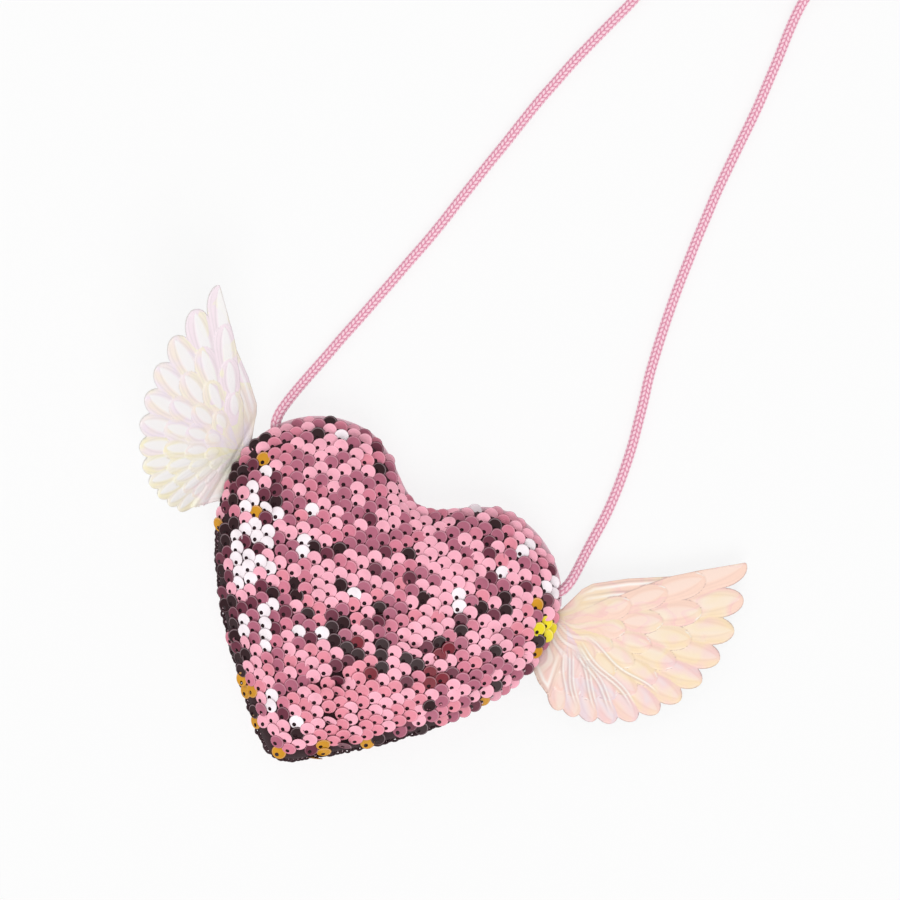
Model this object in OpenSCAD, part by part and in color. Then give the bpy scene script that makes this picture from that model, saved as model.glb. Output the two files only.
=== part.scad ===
// Heart shaped purse with a sequined front, two wings sewn into its sides and a neck cord.
// Millimetres. The purse lies on its back: +Z points up out of the sequined front,
// +Y runs from the point of the heart to its cleft, and +X runs across the lobes.
// The origin is on the surface that the purse rests on, under the middle of the heart.

/* [Heart] */
// Width of the cloth heart across both lobes
heart_w = 116; // [104:1:128]
// Height of the cloth heart from its point to the lobe tops
heart_h = 105.6; // [96:0.2:116]
// Depth of the cleft between the lobes
cleft_depth = 12.6; // [10:0.2:15]
// Height of the sewn seam above the resting surface
seam_z = 8; // [7.4:0.1:10]
// Rise of the padded front above the seam
crown_rise = 16; // [12:0.5:20]
// Height of the layer of sequins on the base cloth
sequin_layer_t = 1.2; // [0.8:0.1:1.6]
// Distance from one row of sequins to the next
sequin_row_gap = 3.3; // [3:0.1:4]

/* [Cloth] */
// Thickness of the base cloth that carries the sequins
front_cloth_t = 0.8; // [0.5:0.1:1.2]
// Thickness of the wadding behind the sequined front
wadding_t = 3; // [2:0.1:4]
// Thickness of the lining cloth
lining_t = 0.4; // [0.3:0.1:0.8]
// Thickness of the plain cloth on the back
back_cloth_t = 0.8; // [0.5:0.1:1.2]
// Thickness of the turned seam edge between front and back
edge_t = 1.2; // [0.9:0.1:1.6]
// Width of the seam edge that shows outside the front
edge_show = 1; // [0.5:0.1:2]
// Shift of the seam edge towards the cleft
edge_shift = 0.8; // [0:0.1:1.2]
// Width of the seam edge that is turned inside
edge_inside = 4; // [3:0.5:6]

/* [Zip] */
// Distance of the zip from the origin towards the cleft
zip_y = 17; // [14:0.5:18]
// Width of the zip from tape edge to tape edge
zip_tape_w = 19.6; // [18:0.2:20.4]
// Thickness of the woven zip tape
zip_tape_t = 0.6; // [0.4:0.1:0.8]
// Distance from the outer end of each zip stop in to the widest place of the cloth heart
zip_end_room = 6.4; // [5.4:0.1:14]
// Width of the mouth between its two rows of stitches
mouth_w = 11.2; // [10:0.2:12.4]
// Height of a tooth through the tape
tooth_h = 2.2; // [1.8:0.1:2.4]
// Reach of a tooth from the tape's edge towards the middle
tooth_reach = 1.6; // [1.2:0.1:2]
// Spacing of the teeth along the zip
tooth_pitch = 2; // [1.6:0.1:3]
// Width of the slider's divider between the two rows of teeth
divider_w = 0.8; // [0.6:0.1:1]
// Length of the slider
slider_len = 9; // [8:0.2:10]
// Width of the slider
slider_w = 7.6; // [7.2:0.1:8.6]
// Thickness of each slider plate
slider_plate_t = 0.9; // [0.7:0.1:1]
// Height of the slider's bridge, which holds the pull
bridge_h = 2.1; // [1.9:0.1:2.4]
// Gap between the slider's bridge and the surface below
bridge_ground_gap = 1.4; // [1:0.1:2]
// Length of the pull from its hinge to its tip
pull_len = 20; // [14:0.5:26]
// Width of the pull
pull_w = 5.4; // [5:0.1:7]
// Thickness of the pull and of its hinge bar
pull_t = 0.8; // [0.6:0.05:0.85]

/* [Wings] */
// Length of the longest feather from the shoulder of a wing
wing_len = 63; // [50:1:70]
// Length of the lowest feather from the shoulder of a wing
feather_short_len = 28.5; // [22:0.5:34]
// Width of the longest feather
feather_w = 10; // [8:0.2:11]
// Width of the lowest feather
feather_low_w = 8; // [6:0.2:9]
// Length of the edge that is sewn into the side seam
wing_root_len = 22; // [18:1:23]
// Width of a wing that is caught inside the seam, measured from its crease
wing_tuck = 6.4; // [5.4:0.1:6.9]
// Thickness of the felt backing
wing_felt_t = 0.6; // [0.4:0.05:0.7]
// Thickness of the pearly film
wing_film_t = 0.3; // [0.2:0.05:0.4]
// Step between one row of embossed feathers and the next
wing_relief_t = 0.3; // [0.2:0.05:0.5]
// Distance of a wing's middle from the origin towards the cleft
wing_y = 18; // [16:0.5:19]
// Distance that the left wing is sewn lower than the right one
left_wing_drop = 4; // [0:0.5:5]
// Distance from the widest place of the cloth heart out to the crease of a wing
crease_stand_off = 3.4; // [3.2:0.1:4]

/* [Cord] */
// Diameter of the braided neck cord
cord_d = 3.6; // [3:0.1:3.9]
// Radius of the outer turn of the put away coil
coil_r = 24; // [22:0.5:26]
// Gap between neighbouring turns of the coil
coil_gap = 0.5; // [0.45:0.05:0.8]
// Thickness of the tie round the coil
tie_t = 0.4; // [0.3:0.1:0.6]
// Width of the tie round the coil
tie_w = 4; // [3:0.5:6]
// Length of each end of the cord that is caught in the seam
cord_tail_len = 4; // [3:0.5:5]

/* [Hidden] */
$fn = 48;

// Gap between pieces that are sewn or laid together
lay_gap = 0.15;
// Clearance round everything that slides or turns
run_gap = 0.3;
// Overrun of every cut
over = 1;

// Heart outline. Each row holds the four handles of one curve, from the cleft round the right
// lobe to the point, in shares of the half width and of the height.
half_w = heart_w / 2;
lobe_top_share = 0.435;
cleft_share = lobe_top_share - cleft_depth / heart_h;
point_share = lobe_top_share - 1;
heart_curve_shares = [
  [[0, cleft_share], [0.14, cleft_share], [0.27, lobe_top_share], [0.475, lobe_top_share]],
  [[0.475, lobe_top_share], [0.76, lobe_top_share], [1, 0.31], [1, 0.15]],
  [[1, 0.15], [1, -0.11], [0.54, -0.345], [0.155, -0.522]],
  [[0.155, -0.522], [0.1, -0.548], [0.055, point_share], [0, point_share]]
];
heart_curve_steps = [5, 7, 8, 3];
function bezier(h, t) =
  pow(1 - t, 3) * h[0] + 3 * pow(1 - t, 2) * t * h[1] + 3 * (1 - t) * t * t * h[2] + t * t * t * h[3];
heart_right = [
  for (k = [0:3])
    for (i = [0:heart_curve_steps[k] - 1])
      let (p = bezier(heart_curve_shares[k], i / heart_curve_steps[k]))
        [p.x * half_w, p.y * heart_h]
];
heart_point = [0, point_share * heart_h];
heart_left = [for (i = [len(heart_right) - 1:-1:1]) [-heart_right[i].x, heart_right[i].y]];
heart_outline = concat(heart_right, [heart_point], heart_left);
outline_n = len(heart_outline);
// A layer at a depth below the cloth's outer face is the outline scaled by this share
mean_r = (heart_w + heart_h) / 4;
function inset_share(depth) = 1 - depth / mean_r;

// The front's crown and the back's roll, given at shares of the way from the middle to the edge
front_station_shares = [0, 0.3, 0.55, 0.74, 0.88, 0.97, 1];
crown_power_share = 2.5;
back_flat_share = 0.78;
back_station_shares = [0, back_flat_share, 0.87, 0.935, 0.98, 1];
front_rim_z = seam_z + edge_t / 2 + lay_gap;
back_rim_z = seam_z - edge_t / 2 - lay_gap;
function crown(s) = sqrt(1 - pow(s, crown_power_share));
function roll_in(s) = (s - back_flat_share) / (1 - back_flat_share);
function roll(s) = s <= back_flat_share ? 0 : 1 - sqrt(1 - pow(roll_in(s), 2));
function front_face(depth) = [
  for (s = front_station_shares) [s * inset_share(depth), front_rim_z + (crown_rise - depth) * crown(s)]
];
function back_face(depth) = [
  for (s = back_station_shares) [s * inset_share(depth), depth + (back_rim_z - depth) * roll(s)]
];
function beyond(a, b, reach) = b + (b - a) * reach / abs(b[1] - a[1]);
function backwards(list) = [for (i = [len(list) - 1:-1:0]) list[i]];
wadding_depth = front_cloth_t + lay_gap;
lining_depth = wadding_depth + wadding_t + lay_gap;
back_lining_depth = back_cloth_t + lay_gap;

// Sequins. They lie on each other like shingles, and every second row is drawn as a raised ridge,
// which takes this share of the layer's height.
sequin_ridge_share = 0.6;
sequin_ridge_gap = 2 * sequin_row_gap;
sequin_skin_t = sequin_layer_t * (1 - sequin_ridge_share);

// Zip. Its heights stack up from the surface: bridge, slider plate, tape in the middle of the gap.
slider_gap_h = tooth_h + 2 * run_gap;
slider_face_z = bridge_ground_gap + bridge_h;
tape_z = slider_face_z + slider_plate_t + slider_gap_h / 2;
// Shares of the slider's length and half width that give its corners, flanges and divider
slider_shoulder_share = 0.32;
slider_waist_share = 0.42;
slider_waist_w_share = 0.96;
flange_len_share = 0.7;
flange_back_share = 0.05;
divider_place_share = 0.3;
divider_len_share = 0.22;
bridge_wall = slider_plate_t;
bridge_w_share = 2;
bridge_w = bridge_w_share * slider_plate_t;
bridge_len_share = 4.5;
bridge_len = bridge_len_share * slider_plate_t;
pull_axis_z = slider_face_z - (bridge_h - bridge_wall) / 2;
pull_arm_share = 1.1;
pull_arm_w = pull_arm_share * pull_t;
pull_eye_len = norm([bridge_len / 2, pull_axis_z - bridge_ground_gap]) + run_gap;
tooth_gap = divider_w + 2 * run_gap;
tooth_root_y = tooth_gap / 2 + tooth_reach;
tooth_w_share = 0.55;
tooth_w = tooth_pitch * tooth_w_share;
stop_len = tooth_pitch;
// The mouth opens between the two places where the slider parks, just inside the stops
mouth_len = 2 * (half_w - zip_end_room - stop_len - slider_len - 2 * run_gap);
park_x = mouth_len / 2 + run_gap + slider_len / 2;
stop_x = park_x + slider_len / 2 + run_gap;
hinge_y = mouth_w / 2;
hinge_gap = zip_tape_t / 2 + run_gap / 2;
window_w = mouth_w + 2 * (hinge_gap + run_gap);
window_len = 2 * (stop_x + stop_len + run_gap);
tape_lap = tooth_pitch;
tape_len = window_len + 2 * tape_lap;

// Groove across the back, which keeps the zip off the surface. Its side slopes by this share.
groove_floor_z = tape_z - zip_tape_t / 2 - lay_gap - back_cloth_t;
groove_half_w = zip_tape_w / 2;
groove_slope_share = 0.85;
lining_groove_depth = back_cloth_t + lay_gap + zip_tape_t + lay_gap;

// Wings. A wing's own frame has x outwards from its crease and y up along the crease.
right_sweep_angle = 5;
left_sweep_angle = 0;
right_lift_angle = -3;
left_lift_angle = 50;
wing_x = half_w + crease_stand_off;
wing_t = wing_felt_t + wing_film_t;
crease_gap = wing_t / 2 + run_gap / 2;
// The film starts this far out, so that it folds up clear of the root
film_start = wing_t / 2 + run_gap;
shoulder_share = 0.32;
shoulder_y = shoulder_share * wing_root_len;
feather_top_angle = 43;
feather_fan_angle = 113;
feather_curve_share = 1.15;
feather_tip_share = 0.8;
feather_base_share = 0.25;
// The front edge of the wing's arm, from the root outwards and back, in shares of the wing's length
arm_shares = [
  [0, 0.2], [0.041, 0.253], [0.195, 0.353], [0.39, 0.456], [0.51, 0.545], [0.66, 0.645],
  [0.6, 0.5], [0.36, 0.15], [0.14, -0.15]
];
// Room for the whole wing: its front edge out past the pointed tip, then round below it
wing_room_shares = [
  [-0.1, 0.1], [0.041, 0.253], [0.195, 0.353], [0.39, 0.456], [0.51, 0.545], [1.2, 1.02],
  [1.2, -1.2], [-0.1, -1.2]
];
// Rows of feathers, one embossed over the other: how many, how far out and how wide
row_counts = [12, 10, 8, 6];
row_reach_shares = [1, 0.77, 0.56, 0.36];
row_width_shares = [1, 0.92, 0.84, 0.8];

// Cord. The unseen length is wound in two layers: in, up in the half turn at the middle, and out.
cord_r = cord_d / 2;
cord_sides = 8;
coil_sides = 6;
coil_rings = 24;
coil_turns = 4.5;
coil_pitch = cord_d + coil_gap;
coil_centre = [5, 268];
coil_low_z = cord_r + tie_t + lay_gap;
cord_exit_angle = 60;
cord_passage_len = cord_tail_len + 2 * cord_d;
function cord_tail_end(exit, side) =
  exit - cord_tail_len * [side * cos(cord_exit_angle), sin(cord_exit_angle), 0];
// Route of the cord's right stretch, from where it is caught in the seam to the coil
right_route = [
  [53.4, 32.6, 8], [54.6, 34.7, 7.9], [55.3, 38, 7.3], [55.4, 42, 5.9], [55.2, 48, 3.6], [55, 55, 2.2],
  [54.8, 62, 1.8], [54, 70, 1.8], [52.7, 78, 1.8], [50.8, 87, 1.8], [48.6, 95, 1.8],
  [46.6, 102, 1.8], [44.4, 109, 1.8], [42.4, 117, 1.8], [40.6, 125, 1.8], [39, 133, 1.8],
  [37.6, 141, 1.8], [36.4, 149, 1.8], [35.2, 157, 1.8], [34.2, 165, 1.8], [33.2, 173, 1.8],
  [32.5, 181, 1.8], [31.9, 189, 1.8], [31.3, 198, 1.8], [30.6, 206, 1.8], [29.6, 214, 1.8],
  [28.6, 222, 1.8], [27.4, 230, 1.8], [26.6, 237, 1.9], [26.4, 243, 2.6], [27, 249, 3.9],
  [28.2, 255, 5.5], [28.9, 260, 6.3]
];
// Route of the cord's left stretch, from where it is caught in the seam to the coil
left_route = [
  [-53.4, 32.6, 8], [-54.6, 34.7, 7.9], [-55.2, 38, 7.3], [-55, 42, 5.9], [-54.2, 48, 3.6],
  [-52.9, 55, 2.2], [-51.5, 62, 1.8], [-50, 70, 1.8], [-48.3, 78, 1.8], [-46.5, 87, 1.8],
  [-44.9, 95, 1.8], [-43.4, 103, 1.8], [-41.8, 111, 1.8], [-40.3, 120, 1.8], [-39.2, 128, 1.8],
  [-38, 136, 1.8], [-36.8, 144, 1.8], [-35.5, 152, 1.8], [-34.2, 161, 1.8], [-32.8, 170, 1.8],
  [-31.2, 178, 1.8], [-29.4, 187, 1.8], [-27.2, 196, 1.8], [-24.9, 205, 1.8], [-22.8, 213, 1.8],
  [-21.2, 221, 1.8], [-20, 229, 1.8], [-19.3, 238, 1.9], [-19, 247, 2.1], [-19, 256, 2.3]
];
function coil_climb(a) = min(1, max(0, 2 * (a - coil_turns / 2) + 0.5));
function coil_point(a) =
  let (r = coil_r - coil_pitch * min(a, coil_turns - a))
    [
      coil_centre.x + r * cos(180 - 360 * a),
      coil_centre.y + r * sin(180 - 360 * a),
      coil_low_z + coil_pitch * coil_climb(a)
    ];
coil_wound = [for (i = [0:coil_rings * coil_turns]) coil_point(i / coil_rings)];
coil_in = coil_wound[0] - [0, cord_d, 0];
coil_out = coil_wound[len(coil_wound) - 1] - [0, cord_d, 0];
coil_path = concat([coil_in], coil_wound, [coil_out]);
least_gap = min([
  for (i = [0:len(coil_wound) - 1])
    for (j = [i + coil_rings / 2:1:len(coil_wound) - 1]) norm(coil_wound[i] - coil_wound[j])
]) - cord_d;
echo(coil_least_gap = least_gap);
echo(coil_length = 2 * cord_d + 360 * PI / 180 * coil_turns * (coil_r - coil_pitch * coil_turns / 4));

// Shapes that the pieces share

// Sweeps a side view along the heart's outline. The view is a list of [share, height] pairs
// that starts at the top of the middle line and ends lower down on it.
module heart_sweep(view) {
  rings = len(view) - 2;
  last = 1 + rings * outline_n;
  low_ring = 1 + (rings - 1) * outline_n;
  points = concat(
    [[0, 0, view[0][1]]],
    [for (k = [1:rings]) for (p = heart_outline) [p.x * view[k][0], p.y * view[k][0], view[k][1]]],
    [[0, 0, view[rings + 1][1]]]
  );
  top = [for (i = [0:outline_n - 1]) [0, 1 + i, 1 + (i + 1) % outline_n]];
  foot = [for (i = [0:outline_n - 1]) [last, low_ring + (i + 1) % outline_n, low_ring + i]];
  walls = [
    for (k = [0:rings - 2])
      for (i = [0:outline_n - 1])
        let (a = 1 + k * outline_n + i, b = 1 + k * outline_n + (i + 1) % outline_n)
          for (face = [[a, a + outline_n, b], [b, a + outline_n, b + outline_n]]) face
  ];
  polyhedron(points = points, faces = concat(top, walls, foot), convexity = 6);
}

// One layer of the crowned front between two depths, with the holes that the cord comes out of
module front_layer(outer_depth, inner_depth) {
  difference() {
    heart_sweep(concat(front_face(outer_depth), backwards(front_face(inner_depth))));
    cord_passages();
  }
}

// Solid of the back from its rolled under face up to the seam, or past it by a rise. Its side
// is swept past both ends in a straight line and cut off level there.
module back_body(depth, rise) {
  face = back_face(depth);
  n = len(face);
  top = beyond(face[n - 2], face[n - 1], 2 * over);
  foot = beyond(face[2], face[1], over);
  side = backwards([for (i = [2:n - 2]) face[i]]);
  intersection() {
    heart_sweep(concat([[0, top[1]], top], side, [foot, [0, foot[1]]]));
    translate([-heart_w, -heart_h, depth])
      cube([2 * heart_w, 2 * heart_h, back_rim_z + rise - depth]);
  }
}

// Groove across the back, drawn up into the purse by a depth
module groove(depth) {
  floor_z = groove_floor_z + depth;
  half = groove_half_w + depth * (norm([1, groove_slope_share]) - groove_slope_share);
  foot = half + (floor_z + over) * groove_slope_share;
  translate([0, zip_y, 0])
    rotate([90, 0, 90])
      linear_extrude(heart_w + 2 * over, center = true)
        polygon([[-foot, -over], [foot, -over], [half, floor_z], [-half, floor_z]]);
}

// One layer of the back between two depths, with its groove and the window for the zip
module back_layer(outer_depth, t, groove_depth, hole_w) {
  difference() {
    back_body(outer_depth, 0);
    groove(groove_depth);
    difference() {
      back_body(outer_depth + t, over);
      groove(groove_depth + t);
    }
    translate([0, zip_y, groove_floor_z + groove_depth])
      cube([window_len, hole_w, 2 * (t + over)], center = true);
    cord_passages();
  }
}

// Box that is centred across the zip and given by its ends along the zip and its height range
module zip_box(x_low, x_high, y_low, y_high, half_h) {
  translate([x_low, zip_y + y_low, tape_z - half_h])
    cube([x_high - x_low, y_high - y_low, 2 * half_h]);
}

// A row of teeth between two places along the zip, on one side of its middle
module tooth_row(x_low, x_high, side, stagger) {
  first = ceil((x_low + tooth_w / 2 - stagger) / tooth_pitch);
  final = floor((x_high - tooth_w / 2 - stagger) / tooth_pitch);
  y_low = side > 0 ? tooth_gap / 2 : -tooth_root_y;
  for (i = [first:final])
    zip_box(
      i * tooth_pitch + stagger - tooth_w / 2, i * tooth_pitch + stagger + tooth_w / 2,
      y_low, y_low + tooth_reach, tooth_h / 2
    );
}

// The free edge of the tape on one side of the mouth
module zip_lip(side) {
  y_low = side > 0 ? tooth_root_y : -hinge_y;
  zip_box(-mouth_len / 2, mouth_len / 2, y_low, y_low + hinge_y - tooth_root_y, zip_tape_t / 2);
}

// Puts a piece that is drawn in a wing's own frame at the side seam
module at_crease(side, sweep_angle, lift_angle) {
  mirror([side < 0 ? 1 : 0, 0, 0])
    translate([wing_x, side < 0 ? wing_y - left_wing_drop : wing_y, seam_z])
      rotate([0, 0, sweep_angle])
        rotate([0, -lift_angle, 0])
          children();
}

// One feather, from the shoulder out along x
module feather(reach, w) {
  tip_len = w * feather_tip_share;
  base = w * feather_base_share;
  tip = [for (a = [-90:18:90]) [reach - tip_len + tip_len * cos(a), w / 2 * sin(a)]];
  polygon(concat([[0, -base]], tip, [[0, base]]));
}

// Outline of one row of feathers with the arm that carries them, from a distance outside the crease
module feather_row(row, start) {
  n = row_counts[row];
  intersection() {
    translate([start, -2 * wing_len])
      square([2 * wing_len, 4 * wing_len]);
    translate([0, shoulder_y])
      polygon(wing_len * wing_room_shares);
    union() {
      translate([0, shoulder_y])
        for (i = [0:n - 1])
          let (down = i / (n - 1))
            rotate(feather_top_angle - feather_fan_angle * down)
              feather(
                row_reach_shares[row] * (
                  feather_short_len
                    + (wing_len - feather_short_len) * pow(1 - down, feather_curve_share)
                ),
                row_width_shares[row] * (feather_w + (feather_low_w - feather_w) * down)
              );
      arm(row_reach_shares[row]);
    }
  }
}

// The arm along the front edge of a wing, from the whole sewn root
module arm(reach_share) {
  polygon(concat(
    [[-over, -wing_root_len / 2], [-over, wing_root_len / 2]],
    [for (p = arm_shares) [p.x * wing_len * reach_share, shoulder_y + p.y * wing_len * reach_share]]
  ));
}

module wing_felt() {
  translate([0, 0, -wing_t / 2])
    linear_extrude(wing_felt_t)
      feather_row(0, 0);
}

module wing_film() {
  translate([0, 0, wing_felt_t - wing_t / 2])
    for (row = [0:3])
      linear_extrude(wing_film_t + row * wing_relief_t)
        feather_row(row, film_start);
}

// The edge of a wing that is caught in the side seam
module wing_root(clearance) {
  translate([-wing_tuck - clearance, -wing_root_len / 2 - clearance, -wing_t / 2 - clearance])
    cube([wing_tuck - crease_gap + clearance, wing_root_len + 2 * clearance, wing_t + 2 * clearance]);
}

// The room that the ends of the cord take in the seam, and their way out of it
module cord_passages() {
  for (side = [-1, 1])
    translate(cord_tail_end(side > 0 ? right_route[0] : left_route[0], side))
      rotate([0, 90, side > 0 ? cord_exit_angle : 180 - cord_exit_angle])
        translate([0, 0, -lay_gap])
          cylinder(h = cord_passage_len, r = cord_r + lay_gap);
}

// Round tube through a list of points
module tube(path, r, sides) {
  n = len(path);
  rings = [
    for (i = [0:n - 1])
      let (
        along = path[min(i + 1, n - 1)] - path[max(i - 1, 0)],
        across = cross(along, [0, 0, 1]) / norm(cross(along, [0, 0, 1])),
        upright = cross(across, along) / norm(along)
      )
        for (k = [0:sides - 1])
          path[i] + r * (cos(360 * k / sides) * across + sin(360 * k / sides) * upright)
  ];
  walls = [
    for (i = [0:n - 2])
      for (k = [0:sides - 1])
        let (a = i * sides + k, b = i * sides + (k + 1) % sides)
          for (face = [[a, b, a + sides], [b, b + sides, a + sides]]) face
  ];
  start_cap = [for (k = [sides - 1:-1:0]) k];
  end_cap = [for (k = [0:sides - 1]) (n - 1) * sides + k];
  polyhedron(points = rings, faces = concat(walls, [start_cap, end_cap]), convexity = 10);
}

// Front: sequins on their base cloth, then wadding and lining

module sequin_layer() {
  color("#f0a9bd") {
    front_layer(-sequin_skin_t - lay_gap, -lay_gap);
    intersection() {
      front_layer(-sequin_layer_t - lay_gap, -sequin_skin_t / 2 - lay_gap);
      sequin_ridges();
    }
  }
}

// Upright slabs, one for each ridge of sequins, across the whole front
module sequin_ridges() {
  n = ceil(heart_h / sequin_ridge_gap);
  for (k = [-n:n])
    translate([-heart_w, k * sequin_ridge_gap, 0])
      cube([2 * heart_w, sequin_row_gap, front_rim_z + 2 * crown_rise]);
}

module front_cloth() {
  color("#33161f")
    front_layer(0, front_cloth_t);
}

module front_wadding() {
  color("#f6f1ec")
    front_layer(wadding_depth, wadding_depth + wadding_t);
}

module front_lining() {
  color("#f4c4d1")
    front_layer(lining_depth, lining_depth + lining_t);
}

// Back: plain cloth and lining, both with a window for the zip

module back_cloth() {
  color("#f6cfd9")
    back_layer(0, back_cloth_t, 0, window_w);
}

module back_lining() {
  color("#f4c4d1")
    back_layer(back_lining_depth, lining_t, lining_groove_depth, window_w + 2 * lining_t);
}

module seam_edge() {
  color("#f6cfd9")
    difference() {
      translate([0, 0, seam_z - edge_t / 2])
        linear_extrude(edge_t)
          difference() {
            translate([0, edge_shift])
              polygon(heart_outline * inset_share(-edge_show));
            polygon(heart_outline * inset_share(edge_inside));
          }
      at_crease(1, right_sweep_angle, 0)
        wing_slot();
      at_crease(-1, left_sweep_angle, 0)
        wing_slot();
      cord_passages();
    }
}

// The room that a sewn wing takes out of the seam edge, through its whole thickness
module wing_slot() {
  translate([-wing_tuck - lay_gap, -wing_root_len / 2 - lay_gap, -edge_t])
    cube([wing_tuck + heart_w, wing_root_len + 2 * lay_gap, 2 * edge_t]);
}

// Zip: a fixed tape, two free lips with their teeth, stops, slider and pull

module zip_tape() {
  color("#f3abc0")
    difference() {
      zip_box(-tape_len / 2, tape_len / 2, -zip_tape_w / 2, zip_tape_w / 2, zip_tape_t / 2);
      zip_box(
        -mouth_len / 2 - run_gap, mouth_len / 2 + run_gap,
        -hinge_y - hinge_gap, hinge_y + hinge_gap, zip_tape_t
      );
      zip_box(-stop_x - stop_len, stop_x + stop_len, -tooth_root_y, tooth_root_y, zip_tape_t);
    }
}

module zip_lip_upper() {
  color("#f3abc0")
    zip_lip(1);
}

module zip_lip_lower() {
  color("#f3abc0")
    zip_lip(-1);
}

module zip_teeth_upper() {
  color("#f7bccb")
    tooth_row(-mouth_len / 2, mouth_len / 2, 1, 0);
}

module zip_teeth_lower() {
  color("#f7bccb")
    tooth_row(-mouth_len / 2, mouth_len / 2, -1, tooth_pitch / 2);
}

module zip_end_teeth() {
  color("#f7bccb")
    for (side = [-1, 1])
      for (end = [-1, 1])
        tooth_row(
          end > 0 ? mouth_len / 2 + run_gap : -stop_x + run_gap,
          end > 0 ? stop_x - run_gap : -mouth_len / 2 - run_gap,
          side, side > 0 ? 0 : tooth_pitch / 2
        );
}

module zip_top_stops() {
  color("#c9c9cf")
    for (y = [tooth_gap / 2, -tooth_root_y])
      zip_box(stop_x, stop_x + stop_len, y, y + tooth_reach, tooth_h / 2 + run_gap);
}

module zip_bottom_stop() {
  color("#c9c9cf")
    zip_box(-stop_x - stop_len, -stop_x, -tooth_root_y, tooth_root_y, tooth_h / 2 + run_gap);
}

// Outline of a slider plate, wide where the rows part and narrower where they leave closed
module slider_plate() {
  half = slider_w / 2;
  nose = tooth_root_y + run_gap;
  shoulder_x = slider_len * slider_shoulder_share;
  waist_x = slider_len * slider_waist_share;
  waist = half * slider_waist_w_share;
  translate([0, 0, -slider_plate_t / 2])
    linear_extrude(slider_plate_t)
      polygon([
        [shoulder_x, -half], [slider_len / 2, -nose], [slider_len / 2, nose], [shoulder_x, half],
        [-waist_x, waist], [-slider_len / 2, nose], [-slider_len / 2, -nose], [-waist_x, -waist]
      ]);
}

module zip_slider() {
  flange_y = tooth_root_y + run_gap;
  flange_w = slider_w / 2 * slider_waist_w_share - flange_y;
  flange_h = slider_gap_h / 2 - zip_tape_t / 2 - run_gap;
  flange_len = slider_len * flange_len_share;
  color("#c9c9cf")
    translate([park_x, zip_y, tape_z]) {
      for (up = [-1, 1]) {
        translate([0, 0, up * (slider_gap_h + slider_plate_t) / 2])
          slider_plate();
        for (side = [-1, 1])
          translate([
            -slider_len * flange_back_share, side * (flange_y + flange_w / 2),
            up * (slider_gap_h - flange_h) / 2
          ])
            cube([flange_len, flange_w, flange_h], center = true);
      }
      translate([slider_len * divider_place_share, 0, 0])
        cube([slider_len * divider_len_share, divider_w, slider_gap_h], center = true);
      translate([0, 0, slider_face_z - tape_z - bridge_h / 2])
        difference() {
          cube([bridge_len, bridge_w, bridge_h], center = true);
          translate([0, 0, bridge_wall])
            cube([bridge_len - 2 * bridge_wall, 2 * bridge_w, bridge_h], center = true);
        }
    }
}

module zip_pull() {
  eye_w = bridge_w + 2 * run_gap;
  outer_w = eye_w + 2 * pull_arm_w;
  color("#c9c9cf")
    translate([park_x, zip_y, pull_axis_z]) {
      rotate([90, 0, 0])
        cylinder(h = outer_w, r = pull_t / 2, center = true);
      translate([0, 0, -pull_t / 2])
        linear_extrude(pull_t)
          difference() {
            union() {
              translate([-pull_eye_len, -outer_w / 2])
                square([pull_eye_len, outer_w]);
              translate([pull_w / 2 - pull_len, -pull_w / 2])
                square([pull_len - pull_w / 2 - pull_eye_len, pull_w]);
              translate([pull_w / 2 - pull_len, 0])
                circle(r = pull_w / 2);
            }
            translate([-pull_eye_len, -eye_w / 2])
              square([pull_eye_len + over, eye_w]);
          }
    }
}

// Wings

module wing_right_felt() {
  color("#f7efe9")
    at_crease(1, right_sweep_angle, right_lift_angle)
      wing_felt();
}

module wing_right_film() {
  color("#fbe9e3")
    at_crease(1, right_sweep_angle, right_lift_angle)
      wing_film();
}

module wing_right_root() {
  color("#fbe9e3")
    at_crease(1, right_sweep_angle, 0)
      wing_root(0);
}

module wing_left_felt() {
  color("#f7efe9")
    at_crease(-1, left_sweep_angle, left_lift_angle)
      wing_felt();
}

module wing_left_film() {
  color("#fbe9e3")
    at_crease(-1, left_sweep_angle, left_lift_angle)
      wing_film();
}

module wing_left_root() {
  color("#fbe9e3")
    at_crease(-1, left_sweep_angle, 0)
      wing_root(0);
}

// Neck cord

module cord_right() {
  color("#eea0b6")
    tube(concat([cord_tail_end(right_route[0], 1)], right_route, [coil_out]), cord_r, cord_sides);
}

module cord_left() {
  color("#eea0b6")
    tube(concat([cord_tail_end(left_route[0], -1)], left_route, [coil_in]), cord_r, cord_sides);
}

module cord_coil() {
  color("#eea0b6")
    tube(coil_path, cord_r, coil_sides);
}

// Band that goes round all the turns on the side of the coil away from the purse
module cord_tie() {
  low_y = coil_r - coil_pitch * coil_turns / 2 - cord_r - run_gap;
  high_y = coil_r + cord_r + run_gap - coil_pitch / 4;
  high_z = coil_low_z + coil_pitch + cord_r + lay_gap;
  color("#fbf4f2")
    translate([coil_centre.x - tie_w / 2, coil_centre.y, 0])
      difference() {
        translate([0, low_y - tie_t, 0])
          cube([tie_w, high_y - low_y + 2 * tie_t, high_z + tie_t]);
        translate([-over, low_y, tie_t])
          cube([tie_w + 2 * over, high_y - low_y, high_z - tie_t]);
      }
}

front_cloth();
sequin_layer();
front_wadding();
front_lining();
back_cloth();
back_lining();
seam_edge();
zip_tape();
zip_lip_upper();
zip_lip_lower();
zip_teeth_upper();
zip_teeth_lower();
zip_end_teeth();
zip_top_stops();
zip_bottom_stop();
zip_slider();
zip_pull();
wing_right_felt();
wing_right_film();
wing_right_root();
wing_left_felt();
wing_left_film();
wing_left_root();
cord_right();
cord_left();
cord_coil();
cord_tie();
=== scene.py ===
import math
import random
import bmesh
import bpy
import numpy as np
from mathutils import Matrix, Vector


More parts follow.
